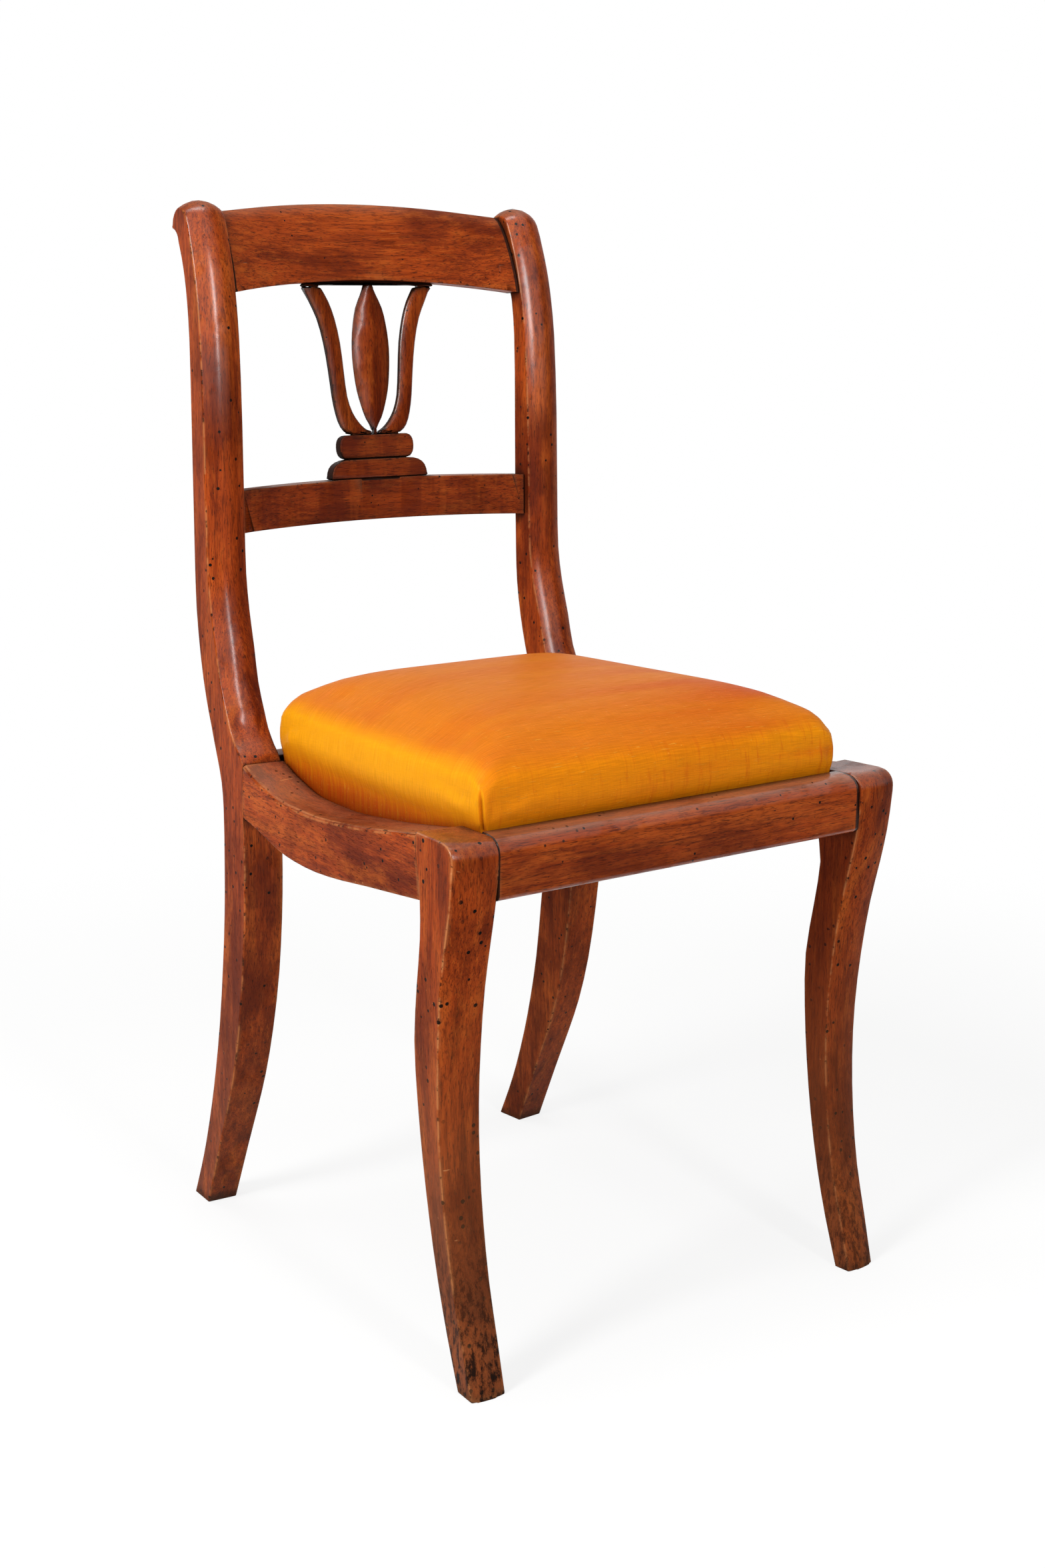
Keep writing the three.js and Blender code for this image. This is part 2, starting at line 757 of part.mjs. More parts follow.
function splatBase() {
  const shape = new THREE.Shape();
  shape.moveTo(-baseHalfWidth, -cutOverrun);
  shape.lineTo(baseHalfWidth, -cutOverrun);
  shape.lineTo(baseHalfWidth, baseHeight - baseRoundHeight);
  shape.quadraticCurveTo(baseHalfWidth, baseHeight, baseHalfWidth - baseRoundWidth, baseHeight);
  shape.lineTo(baseRoundWidth - baseHalfWidth, baseHeight);
  shape.quadraticCurveTo(-baseHalfWidth, baseHeight, -baseHalfWidth, baseHeight - baseRoundHeight);
  const seat = box(-reach, reach, -reach, reach, -reach, midRailTop + glueGap)
    .applyMatrix4(lyreMatrix.clone().invert());
  const block = cut(board(shape, baseThickness).translate(0, -baseLead, 0), seat, mortise(collarTongue()));
  return join(block, tongue(baseTongue()));
}

function splatCollar() {
  const waist = (collarFoot + collarTop) / 2;
  const shape = new THREE.Shape();
  shape.moveTo(-collarFootHalfWidth, collarFoot);
  shape.lineTo(collarFootHalfWidth, collarFoot);
  shape.quadraticCurveTo(collarHalfWidth, collarFoot, collarHalfWidth, waist);
  shape.quadraticCurveTo(collarHalfWidth, collarTop, collarTopHalfWidth, collarTop);
  shape.lineTo(-collarTopHalfWidth, collarTop);
  shape.quadraticCurveTo(-collarHalfWidth, collarTop, -collarHalfWidth, waist);
  shape.quadraticCurveTo(-collarHalfWidth, collarFoot, -collarFootHalfWidth, collarFoot);
  const armMortise = mortise(armFootSpigot());
  const mortises = [armMortise, mirrored(armMortise), mortise(leafFootSpigot())];
  return join(cut(board(shape, collarThickness), ...mortises), tongue(collarTongue()));
}

// The right arm: it curls in under the leaf and lies on the collar
function lyreArm() {
  const back = lyreThickness / 2;
  const front = armRound - back;
  const place = (across, up) => point(across * lyreHalfWidth, 0, mix(armFoot, armTop, up));
  const rows = smoothRows(armShares.map(([outerX, outerZ, innerX, innerZ]) => [
    place(outerX, outerZ), place(innerX, innerZ),
  ]));
  const rings = rows.map(([outer, inner]) => swelledRing(
    point(outer.x, front, outer.z), point(inner.x, front, inner.z),
    point(outer.x, back, outer.z), point(inner.x, back, inner.z),
    point(0, -armRound, 0),
  ));
  return join(loft(rings), tongue(armTopSpigot()), tongue(armFootSpigot()));
}

function lyreLeaf() {
  const foot = armFoot + leafFootLift;
  const middle = leafShares.map(([up, width, ridge]) => [
    mix(foot, leafTop, up), width * leafHalfWidth, ridge * leafRidge,
  ]);
  const endRidge = leafEndRidgeShare * leafRidge;
  const stations = [[foot, leafFootHalfWidth, endRidge], ...middle, [leafTop, leafTopHalfWidth, endRidge]];
  const rings = smoothRows(stations.map(([z, half, ridge]) => [
    point(-half, 0, z),
    point(-half * leafFlankShare, -ridge * leafFlankRidgeShare, z),
    point(0, -ridge, z),
    point(half * leafFlankShare, -ridge * leafFlankRidgeShare, z),
    point(half, 0, z),
    point(half * leafFlankShare, leafBack, z),
    point(-half * leafFlankShare, leafBack, z),
  ]));
  return join(loft(rings), tongue(leafTopSpigot()), tongue(leafFootSpigot()));
}

// Thin batten that carries the arms and the leaf under the crest rail, and follows its arch
function topBatten() {
  const edge = (drop) => Array.from({ length: bowSteps + 1 }, (_, i) => {
    const x = mix(-lyreHalfWidth, lyreHalfWidth, i / bowSteps);
    return [x, crestSeat(x) - glueGap - drop];
  });
  const strip = board(shapeOf([...edge(battenHeight), ...edge(0).reverse()]), battenThickness);
  const armMortise = mortise(armTopSpigot());
  const mortises = [armMortise, mirrored(armMortise), mortise(leafTopSpigot())];
  const rib = crestTongue();
  const ribFoot = crestSeat(crestTongueHalfWidth) - 2 * glueGap;
  return cut(join(strip, tongue([...rib.slice(0, 4), ribFoot, rib[5]])), ...mortises);
}

// Drop-in seat and its corner blocks, in the chair's axes

const railLine = [inChair(-kneeWidth, -kneeReach, kneeTop), inChair(-kneeWidth, stileFront, kneeTop)];
const seatFront = frontRailBack + seatGap;
const seatBack = rearRailFront - seatGap;
const frameInset = silkThickness + glueGap;

// Middle of the chair to the inner face of a side rail
function railLineX(y) {
  const share = (y - railLine[0].y) / (railLine[1].y - railLine[0].y);
  return mix(railLine[0].x, railLine[1].x, share);
}

function seatHalfWidth(y, inset) {
  return railLineX(y) - (seatGap + inset) / Math.cos(splayAngle);
}

// Plan of the seat with rounded corners and, where asked, swelling sides
function seatOutline(inset, swell, radius) {
  const front = seatFront + inset;
  const back = seatBack - inset;
  const corners = [
    [-seatHalfWidth(front, inset), front], [seatHalfWidth(front, inset), front],
    [seatHalfWidth(back, inset), back], [-seatHalfWidth(back, inset), back],
  ].map(([x, y]) => new THREE.Vector2(x, y));
  const towards = (from, to) => from.clone().add(to.clone().sub(from).setLength(radius));
  return corners.flatMap((corner, i) => {
    const before = corners[(i + 3) % 4];
    const after = corners[(i + 1) % 4];
    const start = towards(corner, after);
    const end = towards(after, corner);
    const bend = new THREE.QuadraticBezierCurve(towards(corner, before), corner, start);
    const outwards = end.clone().sub(start).normalize().rotateAround(new THREE.Vector2(), -Math.PI / 2);
    const side = Array.from({ length: edgeSteps - 1 }, (_, k) => {
      const share = (k + 1) / edgeSteps;
      const rise = 1 - (2 * share - 1) ** 2;
      return start.clone().lerp(end, share).addScaledVector(outwards, swell * rise);
    });
    return [...bend.getPoints(cornerSteps), ...side];
  }).map((corner) => corner.toArray());
}

// Heights of the drop-in seat, from the corner blocks up
const blockTop = railUnderside + blockLift + blockHeight;
const baseClothUnderside = blockTop + glueGap;
const hemUnderside = baseClothUnderside + baseClothThickness + glueGap;
const frameUnderside = hemUnderside + silkThickness + glueGap;
const frameTop = frameUnderside + frameHeight;
const webLevel = frameTop + glueGap + webThickness / 2;
const webWeave = (webThickness + glueGap) / 2;
const padUnderside = webLevel + webWeave + webThickness / 2 + glueGap;

function seatBlock(crossFace, intoSeat) {
  const start = crossFace + intoSeat * glueGap;
  const end = start + intoSeat * blockLeg;
  const side = (y) => railLineX(y) - glueGap;
  const outline = [[side(start), start], [side(end), end], [side(start) - blockLeg, start]];
  return slab(outline, blockTop - blockHeight, blockTop);
}

function frontBlock() {
  return seatBlock(frontRailBack, 1);
}

function rearBlock() {
  return seatBlock(rearRailFront, -1);
}

// Plan of a board along the seat's right side, between two insets and two places from front to back
function sideStrip(inset0, inset1, y0, y1) {
  return [
    [seatHalfWidth(y0, inset0), y0], [seatHalfWidth(y1, inset0), y1],
    [seatHalfWidth(y1, inset1), y1], [seatHalfWidth(y0, inset1), y0],
  ];
}

const frameFront = seatFront + frameInset;
const frameBack = seatBack - frameInset;
const frameJoints = [frameFront + frameWidth, frameBack - frameWidth];
const frameMiddle = (frameUnderside + frameTop) / 2;

function frameTenon(joint, fit) {
  const centre = frameInset + frameWidth / 2;
  const halfWidth = frameTenonWidth / 2 + fit;
  const halfThickness = frameTenonThickness / 2 + fit;
  const length = frameTenonLength + fit;
  const plan = sideStrip(centre - halfWidth, centre + halfWidth, joint - length, joint + length);
  return slab(plan, frameMiddle - halfThickness, frameMiddle + halfThickness);
}

function frameCrossRail(outer, joint) {
  const plan = [
    [-seatHalfWidth(outer, frameInset), outer], [seatHalfWidth(outer, frameInset), outer],
    [seatHalfWidth(joint, frameInset), joint], [-seatHalfWidth(joint, frameInset), joint],
  ];
  const rounded = slab(seatOutline(frameInset, 0, seatCornerRadius), frameUnderside, frameTop);
  const socket = frameTenon(joint, tenonFit);
  return cut(common(slab(plan, frameUnderside, frameTop), rounded), socket, mirrored(socket));
}

function frameSideRail() {
  const [front, back] = frameJoints;
  const plan = sideStrip(frameInset, frameInset + frameWidth, front + glueGap, back - glueGap);
  return join(slab(plan, frameUnderside, frameTop), ...frameJoints.map((joint) => frameTenon(joint, 0)));
}

// One strap of webbing, front view: it lies on the frame at its ends and weaves through the others
function webStrap(start, end, crossings, firstOver) {
  const line = [[start, 0], [start + webLap, 0]];
  crossings.forEach((middle, i) => {
    const level = (i % 2 === 0) === firstOver ? webWeave : -webWeave;
    line.push([middle - webWidth / 2, level], [middle + webWidth / 2, level]);
  });
  line.push([end - webLap, 0], [end, 0]);
  const lower = line.map(([along, up]) => [along, up - webThickness / 2]);
  const upper = line.map(([along, up]) => [along, up + webThickness / 2]);
  return board(shapeOf([...lower, ...upper.reverse()]), webWidth);
}

const webMiddle = (frameJoints[0] + frameJoints[1]) / 2;
const webPitchAlong = webPitchShare * (frameJoints[1] - frameJoints[0]);
const webPitchAcross = webPitchShare * 2 * seatHalfWidth(frameBack, frameInset + frameWidth);
const webCrossings = [-webPitchAcross, 0, webPitchAcross];
const webRows = [webMiddle - webPitchAlong, webMiddle, webMiddle + webPitchAlong];

function acrossStrap(row) {
  const narrowEnd = webRows[row] + webWidth / 2;
  const half = seatHalfWidth(narrowEnd, frameInset + frameWidth) + webLap;
  return webStrap(-half, half, webCrossings, row % 2 === 0).translate(0, webRows[row], webLevel);
}

function alongStrap(column) {
  const [front, back] = frameJoints;
  const strap = webStrap(front - webLap, back + webLap, webRows, column % 2 === 1);
  return strap.rotateZ(Math.PI / 2).translate(webCrossings[column], 0, webLevel);
}

// A contour of the pad or its cover
function padRing(inset, swell, z) {
  return seatOutline(inset, swell, seatCornerRadius + padCornerShare * inset)
    .map(([x, y]) => point(x, y, z));
}

// Contours of the seat's outside, drawn in by a skin, from the lower edge to the crown
function padRings(skin, underside) {
  const side = padSideShares.map(([up, bulge]) => [mix(hemUnderside, padSideTop, up), bulge]);
  const rings = [[underside, 0], ...side.filter(([z]) => z > underside)].map(([z, bulge]) => (
    padRing(skin - bulge * padBulge, bulge * padSwell, z)
  ));
  const bulgeAtTop = padSideShares[padSideShares.length - 1][1];
  const radius = padShoulder - skin;
  const shoulderInset = padShoulder - bulgeAtTop * padBulge;
  for (let step = 1; step <= shoulderSteps; step++) {
    const angle = (step / shoulderSteps) * Math.PI / 2;
    const inset = shoulderInset - radius * Math.cos(angle);
    const swell = bulgeAtTop * padSwell * Math.cos(angle);
    rings.push(padRing(inset, swell, padSideTop + radius * Math.sin(angle)));
  }
  const widest = seatHalfWidth(seatBack, 0);
  for (const [way, rise] of padTopShares) {
    rings.push(padRing(mix(shoulderInset, widest, way), 0, padSideTop + radius + rise * padCrown));
  }
  return rings;
}

function seatPadding() {
  return loft(padRings(frameInset, padUnderside));
}

// The silk goes over the pad, down the frame's sides and under its edge
function seatCover() {
  const hem = (z) => padRing(hemWidth, 0, z);
  const outside = padRings(0, hemUnderside).reverse();
  const inside = padRings(silkThickness, hemUnderside + silkThickness);
  return loft([...outside, hem(hemUnderside), hem(hemUnderside + silkThickness), ...inside]);
}

function baseCloth() {
  const plan = seatOutline(baseClothInset, 0, seatCornerRadius);
  return slab(plan, baseClothUnderside, baseClothUnderside + baseClothThickness);
}

// Materials

const finish = (color, roughness) => new THREE.MeshStandardMaterial({ color, roughness, metalness: 0 });
const polishedWood = () => finish('#6e3a1e', 0.35);
const plainWood = () => finish('#a67c52', 0.7);
const silk = () => finish('#d07f1f', 0.45);
const webbing = () => finish('#b59b74', 0.9);
const horsehair = () => finish('#c9bda4', 1);
const linen = () => finish('#3a3630', 0.95);

// Assembly

function piece(name, geometry, material) {
  const mesh = new THREE.Mesh(geometry, material);
  mesh.name = name;
  return mesh;
}

function sideFrame(name, sign, shaped) {
  const group = new THREE.Group();
  group.position.x = sign * halfSpread;
  group.rotation.set(0, -sign * leanAngle, sign * splayAngle, 'ZYX');
  group.add(
    piece(`${name}_stile`, shaped(stile()), polishedWood()),
    piece(`${name}_front_leg`, shaped(frontLeg()), polishedWood()),
    piece(`${name}_side_rail`, shaped(sideRail()), polishedWood()),
  );
  return group;
}

function crossRails() {
  const group = new THREE.Group();
  group.add(
    piece('crest_rail', crestRail(), polishedWood()),
    piece('mid_back_rail', midRail(), polishedWood()),
    piece('front_seat_rail', frontRail(), polishedWood()),
    piece('rear_seat_rail', rearRail(), polishedWood()),
    piece('right_front_corner_block', frontBlock(), plainWood()),
    piece('left_front_corner_block', mirrored(frontBlock()), plainWood()),
    piece('right_rear_corner_block', rearBlock(), plainWood()),
    piece('left_rear_corner_block', mirrored(rearBlock()), plainWood()),
  );
  return group;
}

function lyreSplat() {
  const group = new THREE.Group();
  group.position.copy(lyreFoot);
  group.rotation.x = -lyreLean;
  group.add(
    piece('splat_base', splatBase(), polishedWood()),
    piece('splat_collar', splatCollar(), polishedWood()),
    piece('right_lyre_arm', lyreArm(), polishedWood()),
    piece('left_lyre_arm', mirrored(lyreArm()), polishedWood()),
    piece('lyre_leaf', lyreLeaf(), polishedWood()),
    piece('splat_top_batten', topBatten(), polishedWood()),
  );
  return group;
}

function dropInSeat() {
  const group = new THREE.Group();
  const [frontJoint, backJoint] = frameJoints;
  group.add(
    piece('seat_frame_front', frameCrossRail(frameFront, frontJoint), plainWood()),
    piece('seat_frame_rear', frameCrossRail(frameBack, backJoint), plainWood()),
    piece('seat_frame_right', frameSideRail(), plainWood()),
    piece('seat_frame_left', mirrored(frameSideRail()), plainWood()),
    piece('seat_padding', seatPadding(), horsehair()),
    piece('seat_silk_cover', seatCover(), silk()),
    piece('seat_base_cloth', baseCloth(), linen()),
  );
  ['front', 'middle', 'rear'].forEach((place, row) => {
    group.add(piece(`webbing_across_${place}`, acrossStrap(row), webbing()));
  });
  ['left', 'middle', 'right'].forEach((place, column) => {
    group.add(piece(`webbing_along_${place}`, alongStrap(column), webbing()));
  });
  return group;
}

const chair = new THREE.Group();
chair.add(
  sideFrame('right', 1, (geometry) => geometry),
  sideFrame('left', -1, mirrored),
  crossRails(),
  lyreSplat(),
  dropInSeat(),
);

// The origin lies under the middle of the whole chair
const bounds = new THREE.Box3().setFromObject(chair);
chair.position.y = -(bounds.min.y + bounds.max.y) / 2;

export default chair;
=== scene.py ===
"""A lyre back dining chair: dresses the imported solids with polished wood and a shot-silk seat."""
import math

import bmesh
import bpy
from bpy.props import FloatProperty, FloatVectorProperty, IntProperty, PointerProperty
from bpy.types import Operator, Panel, PropertyGroup
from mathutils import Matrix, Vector
from mathutils.bvhtree import BVHTree


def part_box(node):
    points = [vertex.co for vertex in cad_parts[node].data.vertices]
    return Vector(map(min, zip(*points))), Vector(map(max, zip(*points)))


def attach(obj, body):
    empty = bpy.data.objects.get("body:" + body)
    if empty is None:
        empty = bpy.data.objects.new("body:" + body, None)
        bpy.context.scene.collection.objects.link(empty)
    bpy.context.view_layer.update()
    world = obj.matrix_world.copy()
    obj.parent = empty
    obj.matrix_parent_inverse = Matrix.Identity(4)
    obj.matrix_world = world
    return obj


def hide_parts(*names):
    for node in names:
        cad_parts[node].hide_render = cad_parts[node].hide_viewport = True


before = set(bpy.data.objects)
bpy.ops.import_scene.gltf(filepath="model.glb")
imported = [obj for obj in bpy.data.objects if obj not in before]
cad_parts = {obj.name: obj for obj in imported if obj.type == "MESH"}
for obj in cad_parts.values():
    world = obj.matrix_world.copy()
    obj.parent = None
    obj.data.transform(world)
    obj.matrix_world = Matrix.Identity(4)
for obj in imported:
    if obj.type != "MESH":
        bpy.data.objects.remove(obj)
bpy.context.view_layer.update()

bl_info = {
    "name": "Lyre back chair",
    "version": (1, 0, 0),
    "blender": (4, 5, 0),
    "location": "3D View > Sidebar > Chair",
    "description": "Finishes the chair's joinery and upholsters its drop-in seat",
    "category": "Object",
}

MM = 0.001

# Wooden pieces: way of the grain, tone of the polish, wear of the arrises, dirt at the foot
JOINERY = {
    "left_stile": ("Z", 0.95, 0.75, 0.35),
    "right_stile": ("Z", 0.95, 0.7, 0.35),
    "left_front_leg": ("Z", 0.85, 1.0, 1.0),
    "right_front_leg": ("Z", 0.75, 0.8, 0.7),
    "left_side_rail": ("Y", 0.95, 0.7, 0.0),
    "right_side_rail": ("Y", 0.95, 0.7, 0.0),
    "crest_rail": ("X", 0.9, 0.25, 0.0),
    "mid_back_rail": ("X", 0.7, 0.3, 0.0),
    "front_seat_rail": ("X", 0.85, 0.5, 0.0),
    "rear_seat_rail": ("X", 0.8, 0.3, 0.0),
    "splat_base": ("X", 0.54, 0.1, 0.0),
    "splat_collar": ("X", 0.62, 0.1, 0.0),
    "left_lyre_arm": ("Z", 0.6, 0.2, 0.0),
    "right_lyre_arm": ("Z", 0.72, 0.2, 0.0),
    "lyre_leaf": ("Z", 0.8, 0.15, 0.0),
    "splat_top_batten": ("X", 0.5, 0.1, 0.0),
}
CORNER_BLOCKS = tuple(
    f"{side}_{end}_corner_block" for side in ("left", "right") for end in ("front", "rear")
)
# The drop-in seat's beech rails, with the way of their grain
SEAT_FRAME = {
    "seat_frame_front": "X", "seat_frame_rear": "X", "seat_frame_left": "Y", "seat_frame_right": "Y",
}
CARVED = ("left_lyre_arm", "right_lyre_arm", "lyre_leaf")
LYRE = ("splat_base", "splat_collar", *CARVED, "splat_top_batten")
# Pieces with dark bands across the grain, and pieces with dirty joints
BANDED = ("mid_back_rail", "splat_base", "splat_collar")
SEAMED = (*LYRE, "crest_rail", "mid_back_rail", "front_seat_rail")
WOODEN = (*JOINERY, *CORNER_BLOCKS, *SEAT_FRAME)
CHAIR, SEAT = "chair_frame", "drop_in_seat"

# Heights in metres between which a look of the wood or the silk comes or goes
HEAD, KNEE = (0.66, 0.74), (0.36, 0.4)
HOLLOW_TOP, HOLLOW_FOOT = (0.57, 0.5), (0.4, 0.43)
WASHED, SPLASHED = (0.06, 0.34), (0.01, 0.17)
# Heights of the painted shade at the silk's lower edges, and where it is deepest
LOW_EDGE_SHADE, LOWEST_EDGE_SHADE = (0.438, 0.402), (0.42, 0.395)

# How far the materials look for the piece's own edge, for a neighbour and for the next fold
EDGE_REACH, CORNER_REACH, FOLD_REACH = 4 * MM, 11 * MM, 8 * MM

JUTE_THREAD, LINEN_THREAD, CALICO_THREAD = 1.1 * MM, 0.6 * MM, 0.5 * MM
HERRINGBONE_WIDTH, HERRINGBONE_PITCH = 6 * MM, 3 * MM

WHITE = (1, 1, 1, 1)
LAMP_AIM = (0, 0, 0.45)

# Places nearer than this are the same, and faces that turn by less than this are one
TOUCH, FLAT = 0.02 * MM, math.radians(0.6)
# How many cuts across a side rail let its end follow the leg
LEG_CUTS = 6

# The simulated cover: its cloth, how many frames it takes, and how much of its swell is kept
SILK_CLOTH = {
    "quality": 6, "mass": 0.3, "tension_stiffness": 18, "compression_stiffness": 18,
    "shear_stiffness": 8, "bending_stiffness": 1.2, "use_pressure": True, "vertex_group_mass": "held",
}
CLOTH_FRAMES, KEPT_SWELL = 20, 0.8
# Heights above the rails where the cloth is free and where the crown starts, and the crown's least slope
FREE_RISE, CROWN_RISE, CROWN_SLOPE = 12 * MM, 20 * MM, 0.45
# The sides start this far below the cushion's top
SIDE_DROP = 40 * MM
# Cloth turned under at both sides on top of the hem, and a normal's height where a face looks down
EXTRA_HEM, FACING_DOWN = 20 * MM, -0.9

# The stuffing keeps this far inside the silk, and faces this near the lowest level are the underside
NEAR = 1 * MM
# The floor turns white between these distances from the chair's middle
FLOOR_FADE = (0.6, 1.4)

# A fold: its way out in plan, the band of cloth that finds it, and the finer cloth's reach downwards
FOLD_WAY, FOLD_BAND, FOLD_DROP = (0.72, 0.69), 4 * MM, 40 * MM
# As shares of its width: the slit's place and width, and the lap's place
SLIT_PLACE, SLIT_WIDTH, LAP_PLACE = 0.6, 0.5, 1.4
# As shares of its height or depth
FADE_HEIGHT, LAP_DEPTH, CREASE_DEPTH, CREASE_RISE, CREASE_SLOPE = 0.4, 0.45, 0.2, 0.4, 0.8


def tint(name, description, default):
    """A colour, given as it looks on a screen."""
    return FloatVectorProperty(
        name=name, description=description, subtype="COLOR_GAMMA", size=3, min=0, max=1, default=default)


def length(name, description, default):
    """A length, given in millimetres."""
    return FloatProperty(
        name=name, description=description, subtype="DISTANCE", unit="LENGTH", default=default * MM)


def angle(name, description, default):
    """An angle, given in degrees."""
    return FloatProperty(
        name=name, description=description, subtype="ANGLE", unit="ROTATION",
        default=math.radians(default))


def number(name, description, default):
    """A number that is never negative."""
    return FloatProperty(name=name, description=description, min=0, default=default)


class WoodSettings(PropertyGroup):
    polish: tint("Polish", "Middle colour of the polished mahogany", (0.6, 0.24, 0.07))
    dark_figure: tint("Dark figure", "Darkest bands of the mahogany's figure", (0.31, 0.085, 0.02))
    pale_figure: tint("Pale figure", "Palest bands of the mahogany's figure", (0.74, 0.37, 0.13))
    hole: tint("Worm holes", "Dark inside the worm holes", (0.05, 0.025, 0.015))
    pore: tint("Pores", "Grain filler in the open pores", (0.16, 0.05, 0.02))
    worn: tint("Worn wood", "Bare wood where hands have worn the arrises", (0.72, 0.47, 0.29))
    # Dirt, and also the painted shade in corners and on shaded faces
    grime_and_shade: tint("Grime", "Dirt in dents, at the feet and in the joints", (0.10, 0.055, 0.035))
    # Also stands in for the sheen on what faces up: painted reflection as well as dust
    dulled_and_sheen: tint("Dulled polish", "Dusty, finely worn polish on what faces up", (0.52, 0.385, 0.3))
    wash: tint("Foot wash", "Grey-brown left on the feet by washing the floor", (0.44, 0.28, 0.17))
    beech: tint("Beech", "Unfinished wood of the corner blocks and the seat's frame", (0.74, 0.60, 0.43))
    arris: length("Arris", "Width of the rounding along each edge", 1.3)
    arris_angle: angle("Arris angle", "Edges that turn by more than this are rounded", 32)
    steps: IntProperty(
        name="Arris steps", description="Faces across each rounding", min=1, max=6, default=3)
    merge: length("Merge", "Corners nearer than this become one before the rounding", 0.05)
    joint_reach: length("Joint reach", "An edge this near another piece is in a joint", 0.8)
    roll: length("Roll", "Width of the rounding under the front rail", 4.5)
    seam: length("Seam", "Width of the eased, dirty edge along a joint", 1.2)
    joint_line: length("Joint line", "Width of the dirt on a rail along its left shoulder", 1.4)
    open_joint_line: length("Opened joint line", "Width of the dirt along its right shoulder", 3.2)
    glue_line: length("Glue line", "Faces of a joint nearer than this are drawn together", 0.5)
    shoulder_low: length("Shoulder from", "Front limit of the side rails' front shoulders", -182)
    shoulder_high: length("Shoulder to", "Rear limit of the side rails' front shoulders", -174)
    shoulder_reach: length("Shoulder reach", "Widest gap between shoulder and leg that is closed", 8)
    roughness: FloatProperty(
        name="Roughness", description="Satin of the old polish", min=0, max=1, default=0.3)
    eased: length("Eased edge", "Width of the rounding on the seat's frame, under the cloth", 4)
    soft_arris: length("Soft arris", "Width of the rounding on the lyre's arms", 2.8)


class SeatSettings(PropertyGroup):
    silk_top: tint("Silk on top", "Colour of the silk seen along its weft", (0.815, 0.45, 0.08))
    silk_side: tint("Silk at the sides", "Colour of the silk seen along its warp", (0.89, 0.585, 0.05))
    # Also the colour of the painted shade at the lower edges
    silk_red_and_shade: tint("Red of the silk", "Redder weft in bands and at the lower edge", (0.74, 0.27, 0.04))
    # A darker copy of the gold for the front face: painted shade
    silk_front_shaded: tint("Silk in front", "Olive gold of the cushion's front face", (0.88, 0.53, 0.03))
    # Painted shade in the folds and along the lowest edge
    silk_fold_shade: tint("Folds of the silk", "Red brown deep in the folds", (0.5, 0.16, 0.02))
    slub: tint("Slubs", "Thick yellow threads", (1.0, 0.76, 0.28))
    jute: tint("Jute", "Colour of the webbing", (0.72, 0.60, 0.42))
    linen: tint("Base cloth", "Colour of the dust cloth under the seat", (0.15, 0.14, 0.13))
    calico: tint("Calico", "Colour of the stuffing's undercover", (0.86, 0.82, 0.73))
    voxel: length("Mesh of the cloth", "Size of the squares that the cover is worked from", 5)
    slack: length("Slack", "How much smaller the cover starts before the stuffing fills it", 1.2)
    swell: length("Swell", "The most that the stuffing may push the cover out", 2.5)
    fullness: length("Fullness", "Added all over, so that the pulled-in cloth keeps its size", 1.6)
    tuck: length("Tuck", "The most that the cloth may draw in at a corner", 0.8)
    pressure: number("Pressure", "Pressure of the stuffing", 4)
    evening: IntProperty(
        name="Evening", description="How often the crown is smoothed", min=0, max=60, default=12)
    fold_height: length("Fold height", "Height of the upright fold at each corner", 30)
    fold_end: length("Fold end", "The fold runs out over this height below the rail's top", 7)
    fold_depth: length("Fold depth", "How far the fold is tucked in", 2.4)
    fold_width: length("Fold width", "Width of the tuck", 2.2)
    fold_lean: number("Fold lean", "How far the fold leans, for each unit of its height", 0.05)
    fold_reach: length("Fold reach", "How far round the corner the fold changes the cloth", 11)
    silk_thickness: length("Silk thickness", "The cover and its lining together", 0.9)
    hem: length("Hem", "Cloth turned under the seat's frame", 20)


class StageSettings(PropertyGroup):
    camera_place: FloatVectorProperty(
        name="Camera", description="Place of the camera", subtype="XYZ", unit="LENGTH",
        size=3, precision=4, default=(-1.0332, -1.43144, 0.7847))
    azimuth: angle("Azimuth", "Turn of the view about the upright, from straight ahead", -36.18)
    elevation: angle("Elevation", "How far the camera looks down", 12.54)
    lens: number("Lens", "Focal length in millimetres", 50.47)
    floor: tint("Floor", "Colour of the floor", (0.97, 0.97, 0.965))
    sky: number("Surround", "Level of light from all round", 0.32)
    key: number("Window", "Power of the large lamp at the left", 88)
    top: number("Ceiling", "Power of the lamp overhead", 23)
    front: number("Fill", "Power of the tall lamp in front", 32)


def set_all(thing, values):
    for name, value in values.items():
        setattr(thing, name, value)


def linear(colour):
    """Gives the linear colour of an sRGB one, with its alpha."""
    return (*(c / 12.92 if c <= 0.04045 else ((c + 0.055) / 1.055) ** 2.4 for c in colour), 1)


def shaded(colour, share):
    """A darker colour of the same hue."""
    return tuple(c * share for c in colour[:3]) + (1,)


